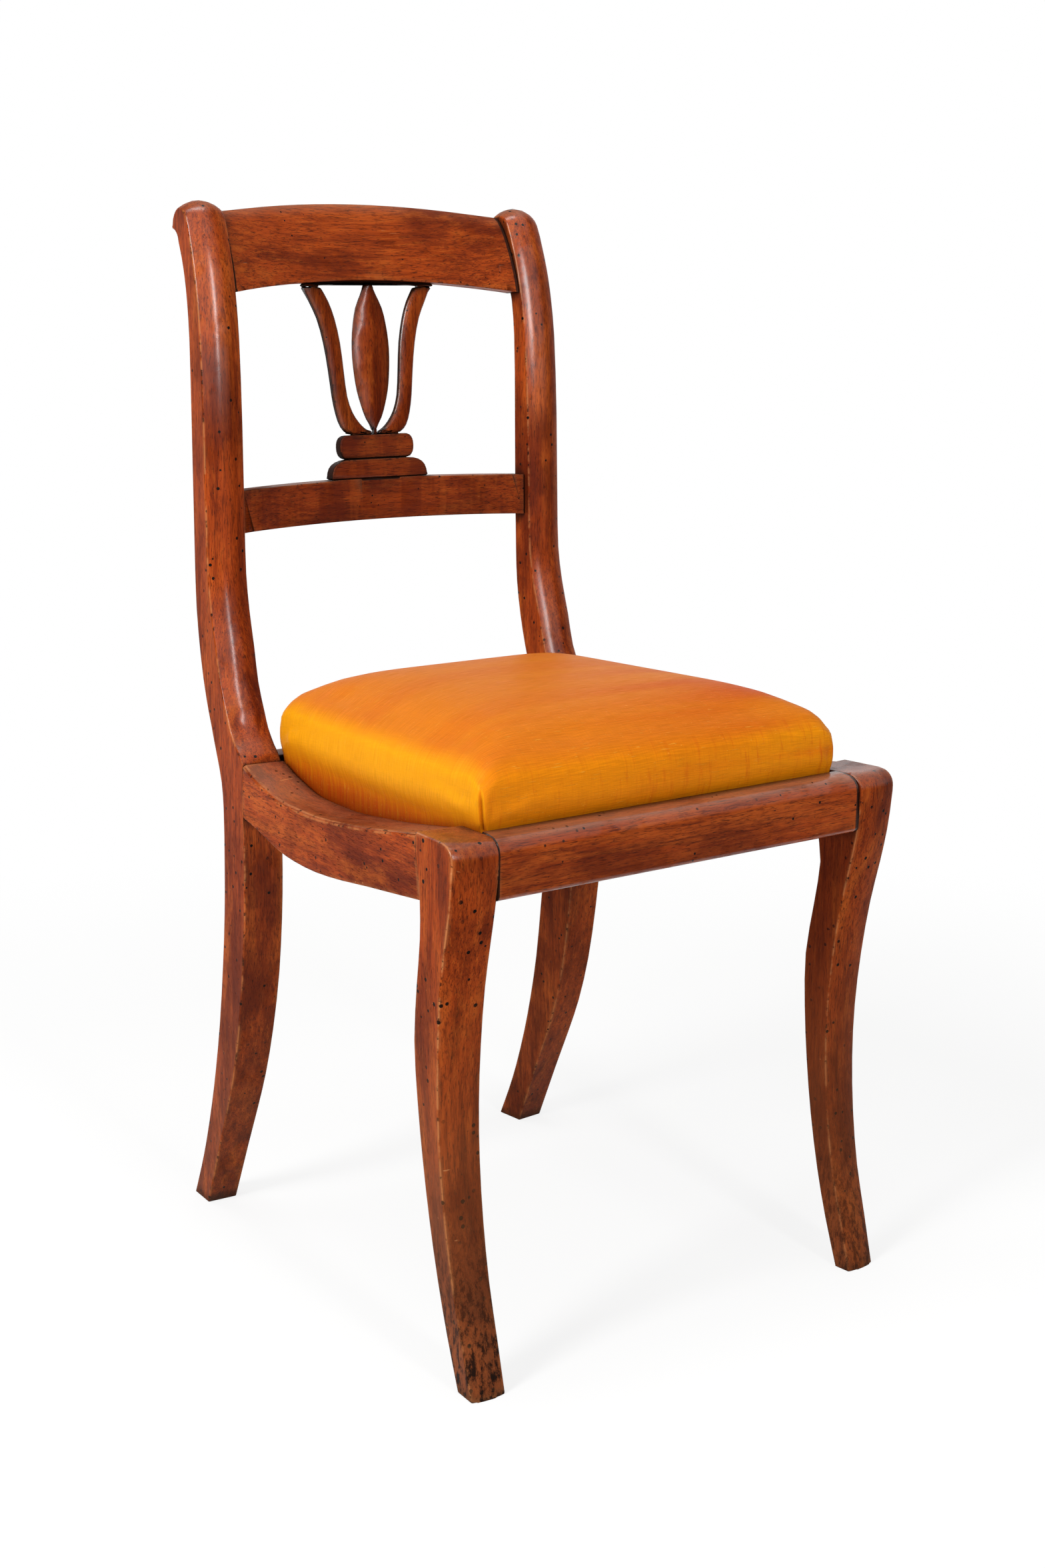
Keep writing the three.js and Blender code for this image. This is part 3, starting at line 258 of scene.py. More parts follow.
class Nodes:
    """A node tree that is built up step by step."""

    def __init__(self, tree):
        self.tree = tree

    def node(self, kind, inputs=None, **settings):
        made = self.tree.nodes.new(kind)
        set_all(made, settings)
        for name, value in (inputs or {}).items():
            self.feed(made.inputs[name], value)
        return made

    def feed(self, socket, value):
        if isinstance(value, bpy.types.NodeSocket):
            self.tree.links.new(value, socket)
        else:
            socket.default_value = value

    def calc(self, operation, first, *others):
        """Arithmetic on one value, or on several that are taken in turn."""
        if not others:
            return self.node("ShaderNodeMath", {0: first}, operation=operation).outputs[0]
        for other in others:
            first = self.node("ShaderNodeMath", {0: first, 1: other}, operation=operation).outputs[0]
        return first

    def times(self, *values):
        return self.calc("MULTIPLY", *values)

    def total(self, *values):
        return self.calc("ADD", *values)

    def step(self, value, low, high, start=0.0, end=1.0):
        """Goes smoothly from start to end as the value goes from low to high."""
        inputs = {"Value": value, "From Min": low, "From Max": high, "To Min": start, "To Max": end}
        made = self.node("ShaderNodeMapRange", inputs, interpolation_type="SMOOTHSTEP")
        return made.outputs["Result"]

    def sight(self):
        """One for what the camera sees, also in a mirror or through glass, and nought for light."""
        rays = self.node("ShaderNodeLightPath").outputs
        seen = ("Is Camera Ray", "Is Glossy Ray", "Is Transmission Ray")
        return self.calc("MAXIMUM", *(rays[name] for name in seen))


class Finish(Nodes):
    """A material whose colours are laid one over the other."""

    def __init__(self, name, looks):
        self.material = bpy.data.materials.new(name)
        self.material.use_nodes = True
        super().__init__(self.material.node_tree)
        self.shader = self.tree.nodes["Principled BSDF"]
        for socket, value in looks.items():
            self.shader.inputs[socket].default_value = value
        self.place = self.node("ShaderNodeTexCoord").outputs["Object"]
        self.facing = self.node("ShaderNodeNewGeometry").outputs["Normal"]
        self.colour = None

    def mapped(self, scale, vector=None, location=(0, 0, 0)):
        inputs = {"Vector": vector or self.place, "Scale": scale, "Location": location}
        return self.node("ShaderNodeMapping", inputs).outputs[0]

    def noise(self, vector, scale, detail, roughness=0.5, distortion=0.0):
        inputs = {
            "Vector": vector, "Scale": scale, "Detail": detail,
            "Roughness": roughness, "Distortion": distortion,
        }
        return self.node("ShaderNodeTexNoise", inputs).outputs["Fac"]

    def cells(self, vector, scale):
        """How far it is to the nearest of many scattered points."""
        return self.node("ShaderNodeTexVoronoi", {"Vector": vector, "Scale": scale}).outputs["Distance"]

    def attribute(self, name, output="Fac"):
        return self.node("ShaderNodeAttribute", attribute_name=name).outputs[output]

    def openness(self, reach, **settings):
        """Falls from one towards nought where other faces are within reach."""
        inputs = {"Distance": reach}
        return self.node("ShaderNodeAmbientOcclusion", inputs, samples=4, **settings).outputs["AO"]

    def part(self, vector, axis):
        return self.node("ShaderNodeSeparateXYZ", {"Vector": vector}).outputs[axis]

    def valued(self, value):
        """The colour so far, made darker or lighter."""
        return self.node("ShaderNodeHueSaturation", {"Color": self.colour, "Value": value}).outputs[0]

    def mix(self, factor, first, second):
        made = self.node("ShaderNodeMix", data_type="RGBA")
        for number, value in ((0, factor), (6, first), (7, second)):
            self.feed(made.inputs[number], value)
        return made.outputs[2]

    def lay(self, factor, colour):
        """Lays a colour over the ones before it."""
        self.colour = self.mix(factor, self.colour, colour)

    def stain(self, pattern, low, high, strength, colour):
        """Lays a colour on as the pattern goes from low to high."""
        self.lay(self.step(pattern, low, high, 0, strength), colour)

    def finish(self, height, depth, roughness=None):
        """Feeds the colour, the relief and, where it varies, the roughness to the shader."""
        relief = self.node("ShaderNodeBump", {"Height": height, "Distance": depth, "Strength": 1.0})
        looks = {"Base Color": self.colour, "Roughness": roughness, "Normal": relief.outputs["Normal"]}
        for socket, value in looks.items():
            if value is not None:
                self.feed(self.shader.inputs[socket], value)
        return self.material


class Wood(Finish):
    """A finish with patterns that are drawn out along the grain."""

    def __init__(self, name, grain, shift, looks):
        super().__init__(name, looks)
        self.grain = grain
        self.spot = self.mapped((1, 1, 1), location=shift)

    def grained(self, stretch, scale, detail, roughness=0.5, distortion=0.0):
        scales = tuple(stretch if axis == self.grain else 1.0 for axis in "XYZ")
        return self.noise(self.mapped(scales, self.spot), scale, detail, roughness, distortion)


class Mahogany(Wood):
    """Old French polish on mahogany: figure, pores, worm holes, worn arrises and dirty feet."""

    def __init__(self, piece, wood):
        grain, self.tone, self.wear, self.dirt = JOINERY[piece]
        self.piece, self.wood = piece, wood
        self.seed = list(JOINERY).index(piece)
        shift = (0.37 * self.seed, 0.21 * self.seed, 0.13 * self.seed)
        looks = {"Specular IOR Level": 0.35, "IOR": 1.12, "Coat Roughness": 0.21}
        super().__init__(f"mahogany_{piece}", grain, shift, looks)
        self.dark, self.pale = linear(wood.dark_figure), linear(wood.pale_figure)
        self.worn, self.grime_and_shade = linear(wood.worn), linear(wood.grime_and_shade)
        self.height = self.part(self.place, "Z")
        self.side, self.back, self.up = (self.part(self.facing, axis) for axis in "XYZ")
        self.cloud = self.grained(0.5, 14, 5, 0.62)
        self.patch = self.noise(self.spot, 40, 4, 0.65)

    def made(self):
        """The whole finish, laid on in turn."""
        self.lay_figure()
        self.lay_wear()
        self.lay_dirt()
        self.lay_polish()
        satin = self.wood.roughness
        rough = self.total(
            self.step(self.cloud, 0.3, 0.7, satin + 0.1, satin - 0.06), self.times(self.pores, 0.2),
            self.times(self.calc("MAXIMUM", self.rubbed, self.crevice_dirt_and_shade), 0.25),
        )
        height = self.total(
            self.times(self.pores, -0.35), self.times(self.fibre, 0.4), self.times(self.holes, -3.0),
            self.times(self.noise(self.spot, 30, 3), 2.5),
        )
        return self.finish(height, 0.12 * MM, rough)

    def lay_figure(self):
        """Bands, streaks, fibres and pores along the grain, and blotches of darker stain."""
        dark, pale, pore = self.dark, self.pale, linear(self.wood.pore)
        figure = self.grained(0.07, 42, 3, 0.55, 0.8)
        self.colour = self.mix(self.step(figure, 0.3, 0.5, 0.35, 1), dark, linear(self.wood.polish))
        self.stain(figure, 0.5, 0.72, 0.5, pale)
        streak = self.grained(0.05, 380, 5, 0.7)
        self.stain(streak, 0.48, 0.64, 0.5, dark)
        self.stain(streak, 0.47, 0.34, 0.35, pale)
        self.fibre = self.grained(0.07, 1000, 3, 0.65)
        self.stain(self.fibre, 0.5, 0.72, 0.7, pore)
        self.stain(self.cloud, 0.55, 0.35, 0.75, dark)
        uneven = self.grained(0.3, 34, 6, 0.72)
        self.stain(uneven, 0.47, 0.3, 0.6, dark)
        self.stain(uneven, 0.54, 0.7, 0.4, pale)
        self.pores = self.step(self.grained(0.09, 1500, 1), 0.6, 0.68)
        self.lay(self.times(self.pores, 0.6), pore)
        self.colour = self.valued(self.tone)
        self.stain(self.grained(0.3, 110, 7, 0.78), 0.56, 0.66, 0.6, dark)
        if self.piece in BANDED:
            ribbon = self.noise(self.mapped((1, 0.12, 0.12), self.spot), 48, 3, 0.6)
            self.stain(ribbon, 0.5, 0.62, 0.5, dark)
            self.stain(ribbon, 0.44, 0.34, 0.12, pale)

    def lay_wear(self):
        """Dust with a painted sheen on what faces up, wood rubbed pale on edges and arrises, scuffs and a
        few short scratches.
        """
        # Pale dust with a painted sheen on what faces up, less on the front legs
        dulling_and_sheen = 0.2 if "front_leg" in self.piece else 0.42
        dust_and_sheen = self.times(self.step(self.up, 0.5, 0.95, 0, dulling_and_sheen), self.step(self.cloud, 0.3, 0.6))
        self.lay(dust_and_sheen, linear(self.wood.dulled_and_sheen))
        self.edge = self.step(self.openness(EDGE_REACH, inside=True, only_local=True), 0.92, 0.55)
        self.arris = self.attribute("arris")
        faded = self.times(self.edge, self.step(self.patch, 0.42, 0.62), 0.5 * self.wear)
        bare = self.times(self.arris, self.step(self.patch, 0.4, 0.56), 0.62 * self.wear)
        self.rubbed = self.calc("MAXIMUM", faded, bare)
        self.lay(self.rubbed, self.worn)
        self.stain(self.noise(self.spot, 75, 6, 0.75), 0.68, 0.76, 0.35 * self.wear, self.worn)
        turn = {"Vector": self.spot, "Rotation": (0.9, 0.7, 0.6 + self.seed), "Scale": (0.08, 1, 1)}
        turned = self.node("ShaderNodeMapping", turn).outputs[0]
        scratch = self.step(self.noise(turned, 300, 1), 0.74, 0.79)
        scratch = self.times(scratch, self.step(self.patch, 0.57, 0.63), 0.8 * self.wear)
        self.lay(scratch, self.worn)

    def lay_dirt(self):
        """Dirt and painted shade in the joints and corners, painted shade on the lyre's side faces and the
        front legs' inner faces, and dirt in nicks, dents, worm holes and at the feet.
        """
        grime_and_shade = self.grime_and_shade
        # Dirt and painted shade in the corners and joints, where other faces are near
        corner = self.step(self.openness(CORNER_REACH), 0.94, 0.6)
        self.crevice_dirt_and_shade = self.times(corner, self.step(self.cloud, 0.2, 0.6, 0.75, 1.0))
        self.lay(self.times(self.crevice_dirt_and_shade, 0.92), grime_and_shade)
        if self.piece in SEAMED:
            self.lay(self.times(self.attribute("seam"), 0.9), grime_and_shade)
        if self.piece in LYRE:
            # On the lyre the side faces are darker, dirt with painted shade, and the edges are dirty
            self.stain(self.calc("ABSOLUTE", self.back), 0.8, 0.35, 0.9, grime_and_shade)
            self.lay(self.times(self.edge, 0.5), grime_and_shade)
        nick = self.calc("MAXIMUM", self.arris, self.times(self.edge, 0.8))
        nick = self.times(nick, self.step(self.noise(self.spot, 170, 3), 0.58, 0.66), 0.85)
        self.lay(nick, grime_and_shade)
        self.stain(self.noise(self.spot, 330, 3, 0.7), 0.66, 0.72, 0.6, grime_and_shade)
        size = 0.05 + 0.1 * self.wear
        colony = self.step(self.noise(self.spot, 24, 1), 0.42, 0.55)
        self.holes = self.times(self.step(self.cells(self.spot, 105), size, 1.25 * size, 1, 0), colony)
        self.lay(self.holes, linear(self.wood.hole))
        if "front_leg" in self.piece:
            # Painted shade on the front legs' inner faces, which the seat shades
            inward = 1.0 if self.piece == "left_front_leg" else -1.0
            self.stain(self.times(self.side, inward), 0.5, 0.9, 0.45, self.dark)
        if self.dirt:
            washed = self.step(self.height, *WASHED, self.dirt, 0)
            wash = self.times(washed, self.step(self.cloud, 0.3, 0.6, 0.4, 0.75), 0.75)
            self.lay(wash, linear(self.wood.wash))
            splashed = self.step(self.height, *SPLASHED, self.dirt, 0)
            mottle = self.step(self.grained(0.4, 190, 5, 0.75), 0.44, 0.6)
            self.lay(self.times(splashed, mottle), grime_and_shade)

    def lay_polish(self):
        """Thicker polish on the heads, in the hollow above the seat, on the knees and the lyre."""
        forward = self.step(self.times(self.back, -1), 0.35, 0.8)
        if "stile" in self.piece:
            head = self.step(self.height, *HEAD, 0.12, 1.0)
            hollow = self.step(self.height, *HOLLOW_FOOT, 0, 0.8)
            hollow = self.times(self.step(self.height, *HOLLOW_TOP), hollow)
            thick = self.times(forward, self.calc("MAXIMUM", head, hollow))
            thick = self.times(thick, self.step(self.side, 0.2, -0.15))
        elif "front_leg" in self.piece:
            thick = self.times(self.step(self.up, 0.05, 0.35), self.step(self.height, *KNEE), 0.6)
        elif self.piece == "front_seat_rail":
            thick = self.step(self.calc("ABSOLUTE", self.up), 0.1, 0.45, 0.05, 0.8)
        elif self.piece in CARVED:
            thick = self.times(self.step(self.side, -0.08, -0.4), 0.7)
        else:
            thick = self.times(forward, 0.08)
        thick = self.times(thick, self.step(self.patch, 0.64, 0.5, 0.45, 1.0))
        self.feed(self.shader.inputs["Coat Weight"], thick)


def plain_beech(node, wood):
    """Unfinished beech with short brown flecks and the marks of the saw."""
    shift = (0.3 * len(node), 0.7, 0.1)
    m = Wood(f"beech_{node}", SEAT_FRAME.get(node, "Y"), shift, {"Specular IOR Level": 0.2})
    pale = linear(wood.beech)
    deep = shaded(pale, 0.62)
    rings = m.grained(0.06, 60, 4, 0.6, 0.4)
    m.colour = m.mix(m.step(rings, 0.35, 0.7), deep, pale)
    m.stain(m.grained(0.2, 900, 1), 0.62, 0.7, 0.4, deep)
    height = m.total(m.times(rings, 0.5), m.times(m.grained(4.0, 160, 2), 0.6))
    return m.finish(height, 0.25 * MM, m.step(rings, 0.3, 0.7, 0.62, 0.8))


def woven(name, colour, thread, strap_way=None):
    """Plain cloth of uneven threads both ways. A strap also has a herringbone along its way."""
    m = Finish(name, {
        "Roughness": 0.85, "Specular IOR Level": 0.15, "Sheen Weight": 0.15, "Sheen Roughness": 0.6})
    turn = 1 / thread
    x, y = m.part(m.place, "X"), m.part(m.place, "Y")
    warp, weft = (m.calc("SINE", m.times(axis, turn * math.pi)) for axis in (x, y))
    check = m.times(warp, weft)
    across, down = (m.noise(m.mapped(scale), turn, 1) for scale in ((1, 0.05, 1), (0.05, 1, 1)))
    uneven = m.total(m.times(across, 0.5), m.times(down, 0.5))
    base = linear(colour)
    dark = shaded(base, 0.45)
    m.colour = m.mix(m.step(check, -1, 0.6), dark, base)
    m.lay(m.step(uneven, 0.35, 0.65, 0.45, 0), dark)
    if strap_way:
        width_way, length_way = (x, y) if strap_way == "Y" else (y, x)
        zigzag = m.calc("PINGPONG", width_way, HERRINGBONE_WIDTH)
        band = m.calc("SINE", m.times(m.total(zigzag, length_way), math.tau / HERRINGBONE_PITCH))
        m.lay(m.step(band, -0.4, 0.4, 0.3, 0), dark)
    height = m.total(m.calc("ABSOLUTE", check), m.times(m.noise(m.place, 2400, 2), 0.4))
    return m.finish(height, 0.3 * MM)


def shot_silk(seat):
    """Slubbed shot silk, orange seen from above and golden at the sides."""
    m = Finish("shot_silk_orange", {
        "Specular IOR Level": 0.4, "IOR": 1.15, "Sheen Weight": 0.02, "Sheen Roughness": 0.3,
        "Sheen Tint": linear((1.0, 0.62, 0.15)),
    })
    weave = m.attribute("weave", "Vector")
    dye_silk(m, seat, weave)
    height, rough = lay_threads(m, seat, weave)
    return m.finish(height, 0.16 * MM, rough)


def dye_silk(m, seat, weave):
    """Gold at the sides, orange on top, with redder bands, and painted shade on the front, at the lower
    edges and in the folds.
    """
    red, fold = linear(seat.silk_red_and_shade), linear(seat.silk_fold_shade)
    side, front, up = (m.part(m.facing, axis) for axis in "XYZ")
    height = m.part(m.place, "Z")
    # The front face takes a darker gold: painted shade
    sides = m.mix(m.step(front, -0.35, -0.8), linear(seat.silk_side), linear(seat.silk_front_shaded))
    m.colour = m.mix(m.step(up, 0.4, 0.88), sides, linear(seat.silk_top))

    # Broad redder bands along the weft, most at the right front corner and least at the sides
    bands = m.step(m.noise(m.mapped((2.0, 26, 1), weave), 1.0, 2), 0.36, 0.62)
    right = m.step(m.part(m.place, "X"), -0.08, 0.16)
    forward = m.step(m.part(m.place, "Y"), 0.02, -0.2)
    flank = m.step(m.calc("ABSOLUTE", side), 0.9, 0.5, 0.2, 1)
    m.lay(m.times(bands, m.total(0.2, m.times(right, forward, 0.75)), flank), red)

    # Painted shade turns the lower edges a deep red brown, with streaks of the red weft, but hardly in
    # front
    streaks = m.step(m.noise(m.mapped((0.08, 1, 1), weave), 260, 2), 0.25, 0.65, 0.6, 1.0)
    low = m.step(height, *LOW_EDGE_SHADE)
    m.lay(m.times(low, streaks, m.step(front, -0.85, -0.4, 0.15, 1), 0.9), red)
    m.lay(m.times(m.step(height, *LOWEST_EDGE_SHADE), m.step(front, -0.85, -0.4), 0.7), fold)

    # Painted shade darkens the folds and the cloth's meeting with the rails still more
    deep = m.times(m.step(m.openness(FOLD_REACH), 0.9, 0.35), m.step(front, -0.85, -0.5, 0.12, 0.75))
    m.lay(deep, fold)

    # Redder streaks run down the front
    upright = m.step(m.noise(m.mapped((1, 0.12, 1), weave), 240, 4, 0.7), 0.5, 0.75)
    m.lay(m.times(m.step(front, -0.5, -0.9), upright, m.total(0.3, m.times(right, 0.4))), red)


def lay_threads(m, seat, weave):
    """Weft from side to side, warp from front to back, slubs and nubs: their relief and roughness."""
    slub = linear(seat.slub)
    weft, warp = (m.noise(m.mapped(scale, weave), 1700, 2, 0.6) for scale in ((0.03, 1, 1), (1, 0.03, 1)))
    shade = m.valued(0.68)
    m.lay(m.step(weft, 0.36, 0.64, 0.55, 0), shade)
    m.lay(m.step(warp, 0.4, 0.6, 0.22, 0), shade)
    slubs = m.step(m.noise(m.mapped((0.06, 1, 1), weave), 1500, 0), 0.7, 0.78)
    slubs = m.times(slubs, m.step(m.noise(m.mapped((0.5, 1, 1), weave), 150, 1), 0.5, 0.6))
    m.lay(m.times(slubs, 0.24), slub)
    nubs = m.step(m.cells(m.mapped((0.5, 1, 1), weave), 330), 0.06, 0.12, 1, 0)
    m.lay(m.times(nubs, 0.2), slub)
    height = m.total(weft, m.times(warp, 0.4), m.times(slubs, 1.2), nubs)
    return height, m.step(weft, 0.3, 0.7, 0.56, 0.4)


def put_in_scene(name, data):
    made = bpy.data.objects.new(name, data)
    bpy.context.scene.collection.objects.link(made)
    return made


def opened(mesh):
    """A bmesh of a mesh."""
    bm = bmesh.new()
    bm.from_mesh(mesh)
    return bm


def closed(bm, name):
    """The mesh of a bmesh whose work is done."""
    mesh = bpy.data.meshes.new(name)
    bm.to_mesh(mesh)
    bm.free()
    return mesh


def cut(bm, place, way, **settings):
    """Cuts a bmesh along a plane."""
    geometry = bm.verts[:] + bm.edges[:] + bm.faces[:]
    return bmesh.ops.bisect_plane(bm, geom=geometry, plane_co=place, plane_no=way, **settings)


def place_piece(name, bm, body, replaced, material):
    """Puts a finished piece in the scene on its body, in the place of a CAD node."""
    piece = put_in_scene(name, closed(bm, name))
    piece.data.materials.append(material)
    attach(piece, body)
    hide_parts(*replaced)
    return piece


def merged_copy(node, distance):
    """A bmesh of a CAD node, with its loose triangles joined and its flat faces whole."""
    bm = opened(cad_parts[node].data)
    bmesh.ops.remove_doubles(bm, verts=bm.verts[:], dist=distance)
    bmesh.ops.dissolve_degenerate(bm, edges=bm.edges[:], dist=distance)
    bmesh.ops.dissolve_limit(bm, angle_limit=FLAT, verts=bm.verts[:], edges=bm.edges[:])
    return bm


def solid_trees():
    """A search tree over each CAD node's surface."""
    trees = {}
    for node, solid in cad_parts.items():
        bm = opened(solid.data)
        trees[node] = BVHTree.FromBMesh(bm)
        bm.free()
    return trees


TREES = solid_trees()


def in_joint(edge, node, reach):
    """True where the edge lies all along against another wooden piece."""
    ends = [vert.co for vert in edge.verts]
    spots = (*ends, (ends[0] + ends[1]) / 2)
    others = [tree for name, tree in TREES.items() if name != node and name in WOODEN]
    return all(any(tree.find_nearest(spot, reach)[0] is not None for tree in others) for spot in spots)


def bevelled(bm, edges, width, steps):
    """Bevels the edges and gives the new faces and edges."""
    return bmesh.ops.bevel(
        bm, geom=edges, offset=width, offset_type="OFFSET", segments=steps,
        profile=0.5, affect="EDGES", clamp_overlap=False, material=-1,
    )


def round_arrises(bm, node, wood, width):
    """Rounds the open edges, eases those in dirty joints, and marks both for the material."""
    bm.normal_update()
    sharp = [e for e in bm.edges if e.is_manifold and e.calc_face_angle() > wood.arris_angle]
    in_joints = {e for e in sharp if in_joint(e, node, wood.joint_reach)}
    open_edges = [e for e in sharp if e.is_convex and e not in in_joints]
    seam_edges = [e for e in sharp if e.is_convex and e in in_joints and node in SEAMED]
    for edge in sharp:
        edge.smooth = False
    seam = bm.faces.layers.float.new("seam")
    if seam_edges:
        for face in bevelled(bm, seam_edges, wood.seam, 1)["faces"]:
            face[seam] = 1
    made = bevelled(bm, [e for e in open_edges if e.is_valid], width, wood.steps)
    rounding = set(made["faces"])
    layer = bm.verts.layers.float.new("arris")
    for vert in bm.verts:
        vert[layer] = float(all(face in rounding for face in vert.link_faces))
    for edge in made["edges"]:
        edge.smooth = True
    for face in bm.faces:
        face.smooth = True


def mark_shoulders(bm, wood):
    """Parts off a narrow band at each end of a rail, which the material makes dark."""
    bm.normal_update()
    seam = bm.faces.layers.float["seam"]
    for side, width in ((-1, wood.joint_line), (1, wood.open_joint_line)):
        shoulder = max(bm.faces, key=lambda face: side * face.normal.x * face.calc_area())
        outward = shoulder.normal.copy()
        start = shoulder.calc_center_median() - outward * width
        cut(bm, start, outward)
        for face in bm.faces:
            if (face.calc_center_median() - start).dot(outward) > 0:
                face[seam] = 1


def draw_in(bm, node, reach):
    """Brings corners that the rounding threw off the solid back to its surface."""
    for vert in bm.verts:
        place, normal, _, distance = TREES[node].find_nearest(vert.co)
        proud = (vert.co - place).dot(normal) > 0 and distance > TOUCH
        if proud or distance > reach:
            vert.co = place


def close_joints(bm, node, mates, reach):
    """Draws the faces of a joint together, so that no light shows through the glue line."""
    others = [TREES[name] for name in mates if name != node]
    for vert in bm.verts:
        hits = [tree.find_nearest(vert.co, reach) for tree in others]
        spots = [(distance, place) for place, _, _, distance in hits if place]
        if spots:
            vert.co = min(spots, key=lambda spot: spot[0])[1]


def meet_leg(bm, node, wood):
    """Brings the side rail's front shoulder up to the curved back of its leg."""
    leg = TREES[node.replace("side_rail", "front_leg")]
    low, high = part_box(node)
    for number in range(1, LEG_CUTS + 1):
        level = low[2] + (high[2] - low[2]) * number / (LEG_CUTS + 1)
        cut(bm, (0, 0, level), (0, 0, 1))
    bm.normal_update()
    for vert in bm.verts:
        if not wood.shoulder_low < vert.co.y < wood.shoulder_high:
            continue
        hit = leg.ray_cast(vert.co, Vector((0, -1, 0)), wood.shoulder_reach)
        if hit[0]:
            vert.co.y = hit[0].y


def joinery(node, wood, material, body):
    """Works a wooden piece from its CAD solid, with rounded arrises."""
    bm = merged_copy(node, wood.merge)
    soft = {
        "left_lyre_arm": wood.soft_arris, "right_lyre_arm": wood.soft_arris, "front_seat_rail": wood.roll,
        **dict.fromkeys(SEAT_FRAME, wood.eased),
    }
    width = soft.get(node, wood.arris)
    round_arrises(bm, node, wood, width)
    draw_in(bm, node, 0.6 * width)
    if node in ("crest_rail", "front_seat_rail"):
        mark_shoulders(bm, wood)
    if "side_rail" in node:
        meet_leg(bm, node, wood)
    mates = [name for name in WOODEN if (name in SEAT_FRAME) == (node in SEAT_FRAME)]
    close_joints(bm, node, mates, wood.glue_line)
    piece = place_piece(f"{node}_wood", bm, body, [node], material)
    shading = piece.modifiers.new("Even shading", "WEIGHTED_NORMAL")
    shading.keep_sharp = True
    shading.weight = 60


def evaluated_mesh(piece):
    """The piece's mesh with its modifiers applied."""
    graph = bpy.context.evaluated_depsgraph_get()
    return bpy.data.meshes.new_from_object(piece.evaluated_get(graph))


def worked(mesh, kind, **settings):
    """The mesh after one modifier."""
    helper = put_in_scene("helper", mesh)
    modifier = helper.modifiers.new(kind, kind)
    set_all(modifier, settings)
    result = evaluated_mesh(helper)
    bpy.data.objects.remove(helper)
    return result


def cover_form(seat):
    """The outside of the CAD cover, closed underneath and remeshed in even squares."""
    bm = merged_copy("seat_silk_cover", TOUCH)
    low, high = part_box("seat_silk_cover")
    middle = (Vector(low) + Vector(high)) / 2
    inner = [f for f in bm.faces if f.normal.dot(f.calc_center_median() - middle) < 0]
    bmesh.ops.delete(bm, geom=inner, context="FACES")
    bmesh.ops.holes_fill(bm, edges=[e for e in bm.edges if e.is_boundary], sides=0)
    bmesh.ops.recalc_face_normals(bm, faces=bm.faces[:])
    bmesh.ops.triangulate(bm, faces=bm.faces[:])
    return worked(
        closed(bm, "cover_form"), "REMESH",
        mode="VOXEL", voxel_size=seat.voxel, adaptivity=0, use_smooth_shade=True)


def bounded(value):
    """The value, kept between nought and one."""
    return min(1, max(0, value))


def bell(value):
    """One at nought, and falling away to both sides."""
    return math.exp(-(value ** 2))


def blown_up(mesh, seat, held_below, free_above):
    """Fills the cover with stuffing: a cloth under pressure, held at its lower edge."""
    points = [v.co.copy() for v in mesh.vertices]
    normals = [v.normal.copy() for v in mesh.vertices]
    freedom = [bounded((p.z - held_below) / (free_above - held_below)) for p in points]
    pad = put_in_scene("cover_in_work", mesh)
    held = pad.vertex_groups.new(name="held")
    for index, free in enumerate(freedom):
        held.add([index], 1 - free, "REPLACE")
        mesh.vertices[index].co = points[index] - normals[index] * seat.slack * free
    cloth = pad.modifiers.new("Stuffing", "CLOTH")
    set_all(cloth.settings, SILK_CLOTH)
    cloth.settings.uniform_pressure_force = seat.pressure
    cloth.settings.effector_weights.gravity = 0
    cloth.point_cache.frame_start, cloth.point_cache.frame_end = 1, CLOTH_FRAMES
    for number in range(1, CLOTH_FRAMES + 1):
        bpy.context.scene.frame_set(number)
    swollen = evaluated_mesh(pad)
    bpy.context.scene.frame_set(1)
    for index, free in enumerate(freedom):
        moved = swollen.vertices[index].co - points[index]
        proud = moved.dot(normals[index])
        filled = min(seat.swell, max(-seat.tuck, KEPT_SWELL * proud + seat.fullness))
        moved += normals[index] * (filled - proud)
        mesh.vertices[index].co = points[index] + moved * free
    pad.modifiers.clear()
    bpy.data.objects.remove(pad)
    return mesh


def evened(mesh, passes, level):
    """Smooths the crown, where the pull of the cloth has left a groove along the edges."""
    bm = opened(mesh)
    for _ in range(passes):
        bm.normal_update()
        crown = [v for v in bm.verts if v.co.z > level and v.normal.z > CROWN_SLOPE]
        bmesh.ops.smooth_vert(
            bm, verts=crown, factor=0.5, use_axis_x=True, use_axis_y=True, use_axis_z=True)
    bm.to_mesh(mesh)
    bm.free()
    return mesh


def corner_place(bm, way, level):
    """The point of the cover furthest out along a way in plan, at a level."""
    band = [v.co for v in bm.verts if abs(v.co.z - level) < FOLD_BAND]
    return max(band, key=lambda place: place.xy.dot(way))


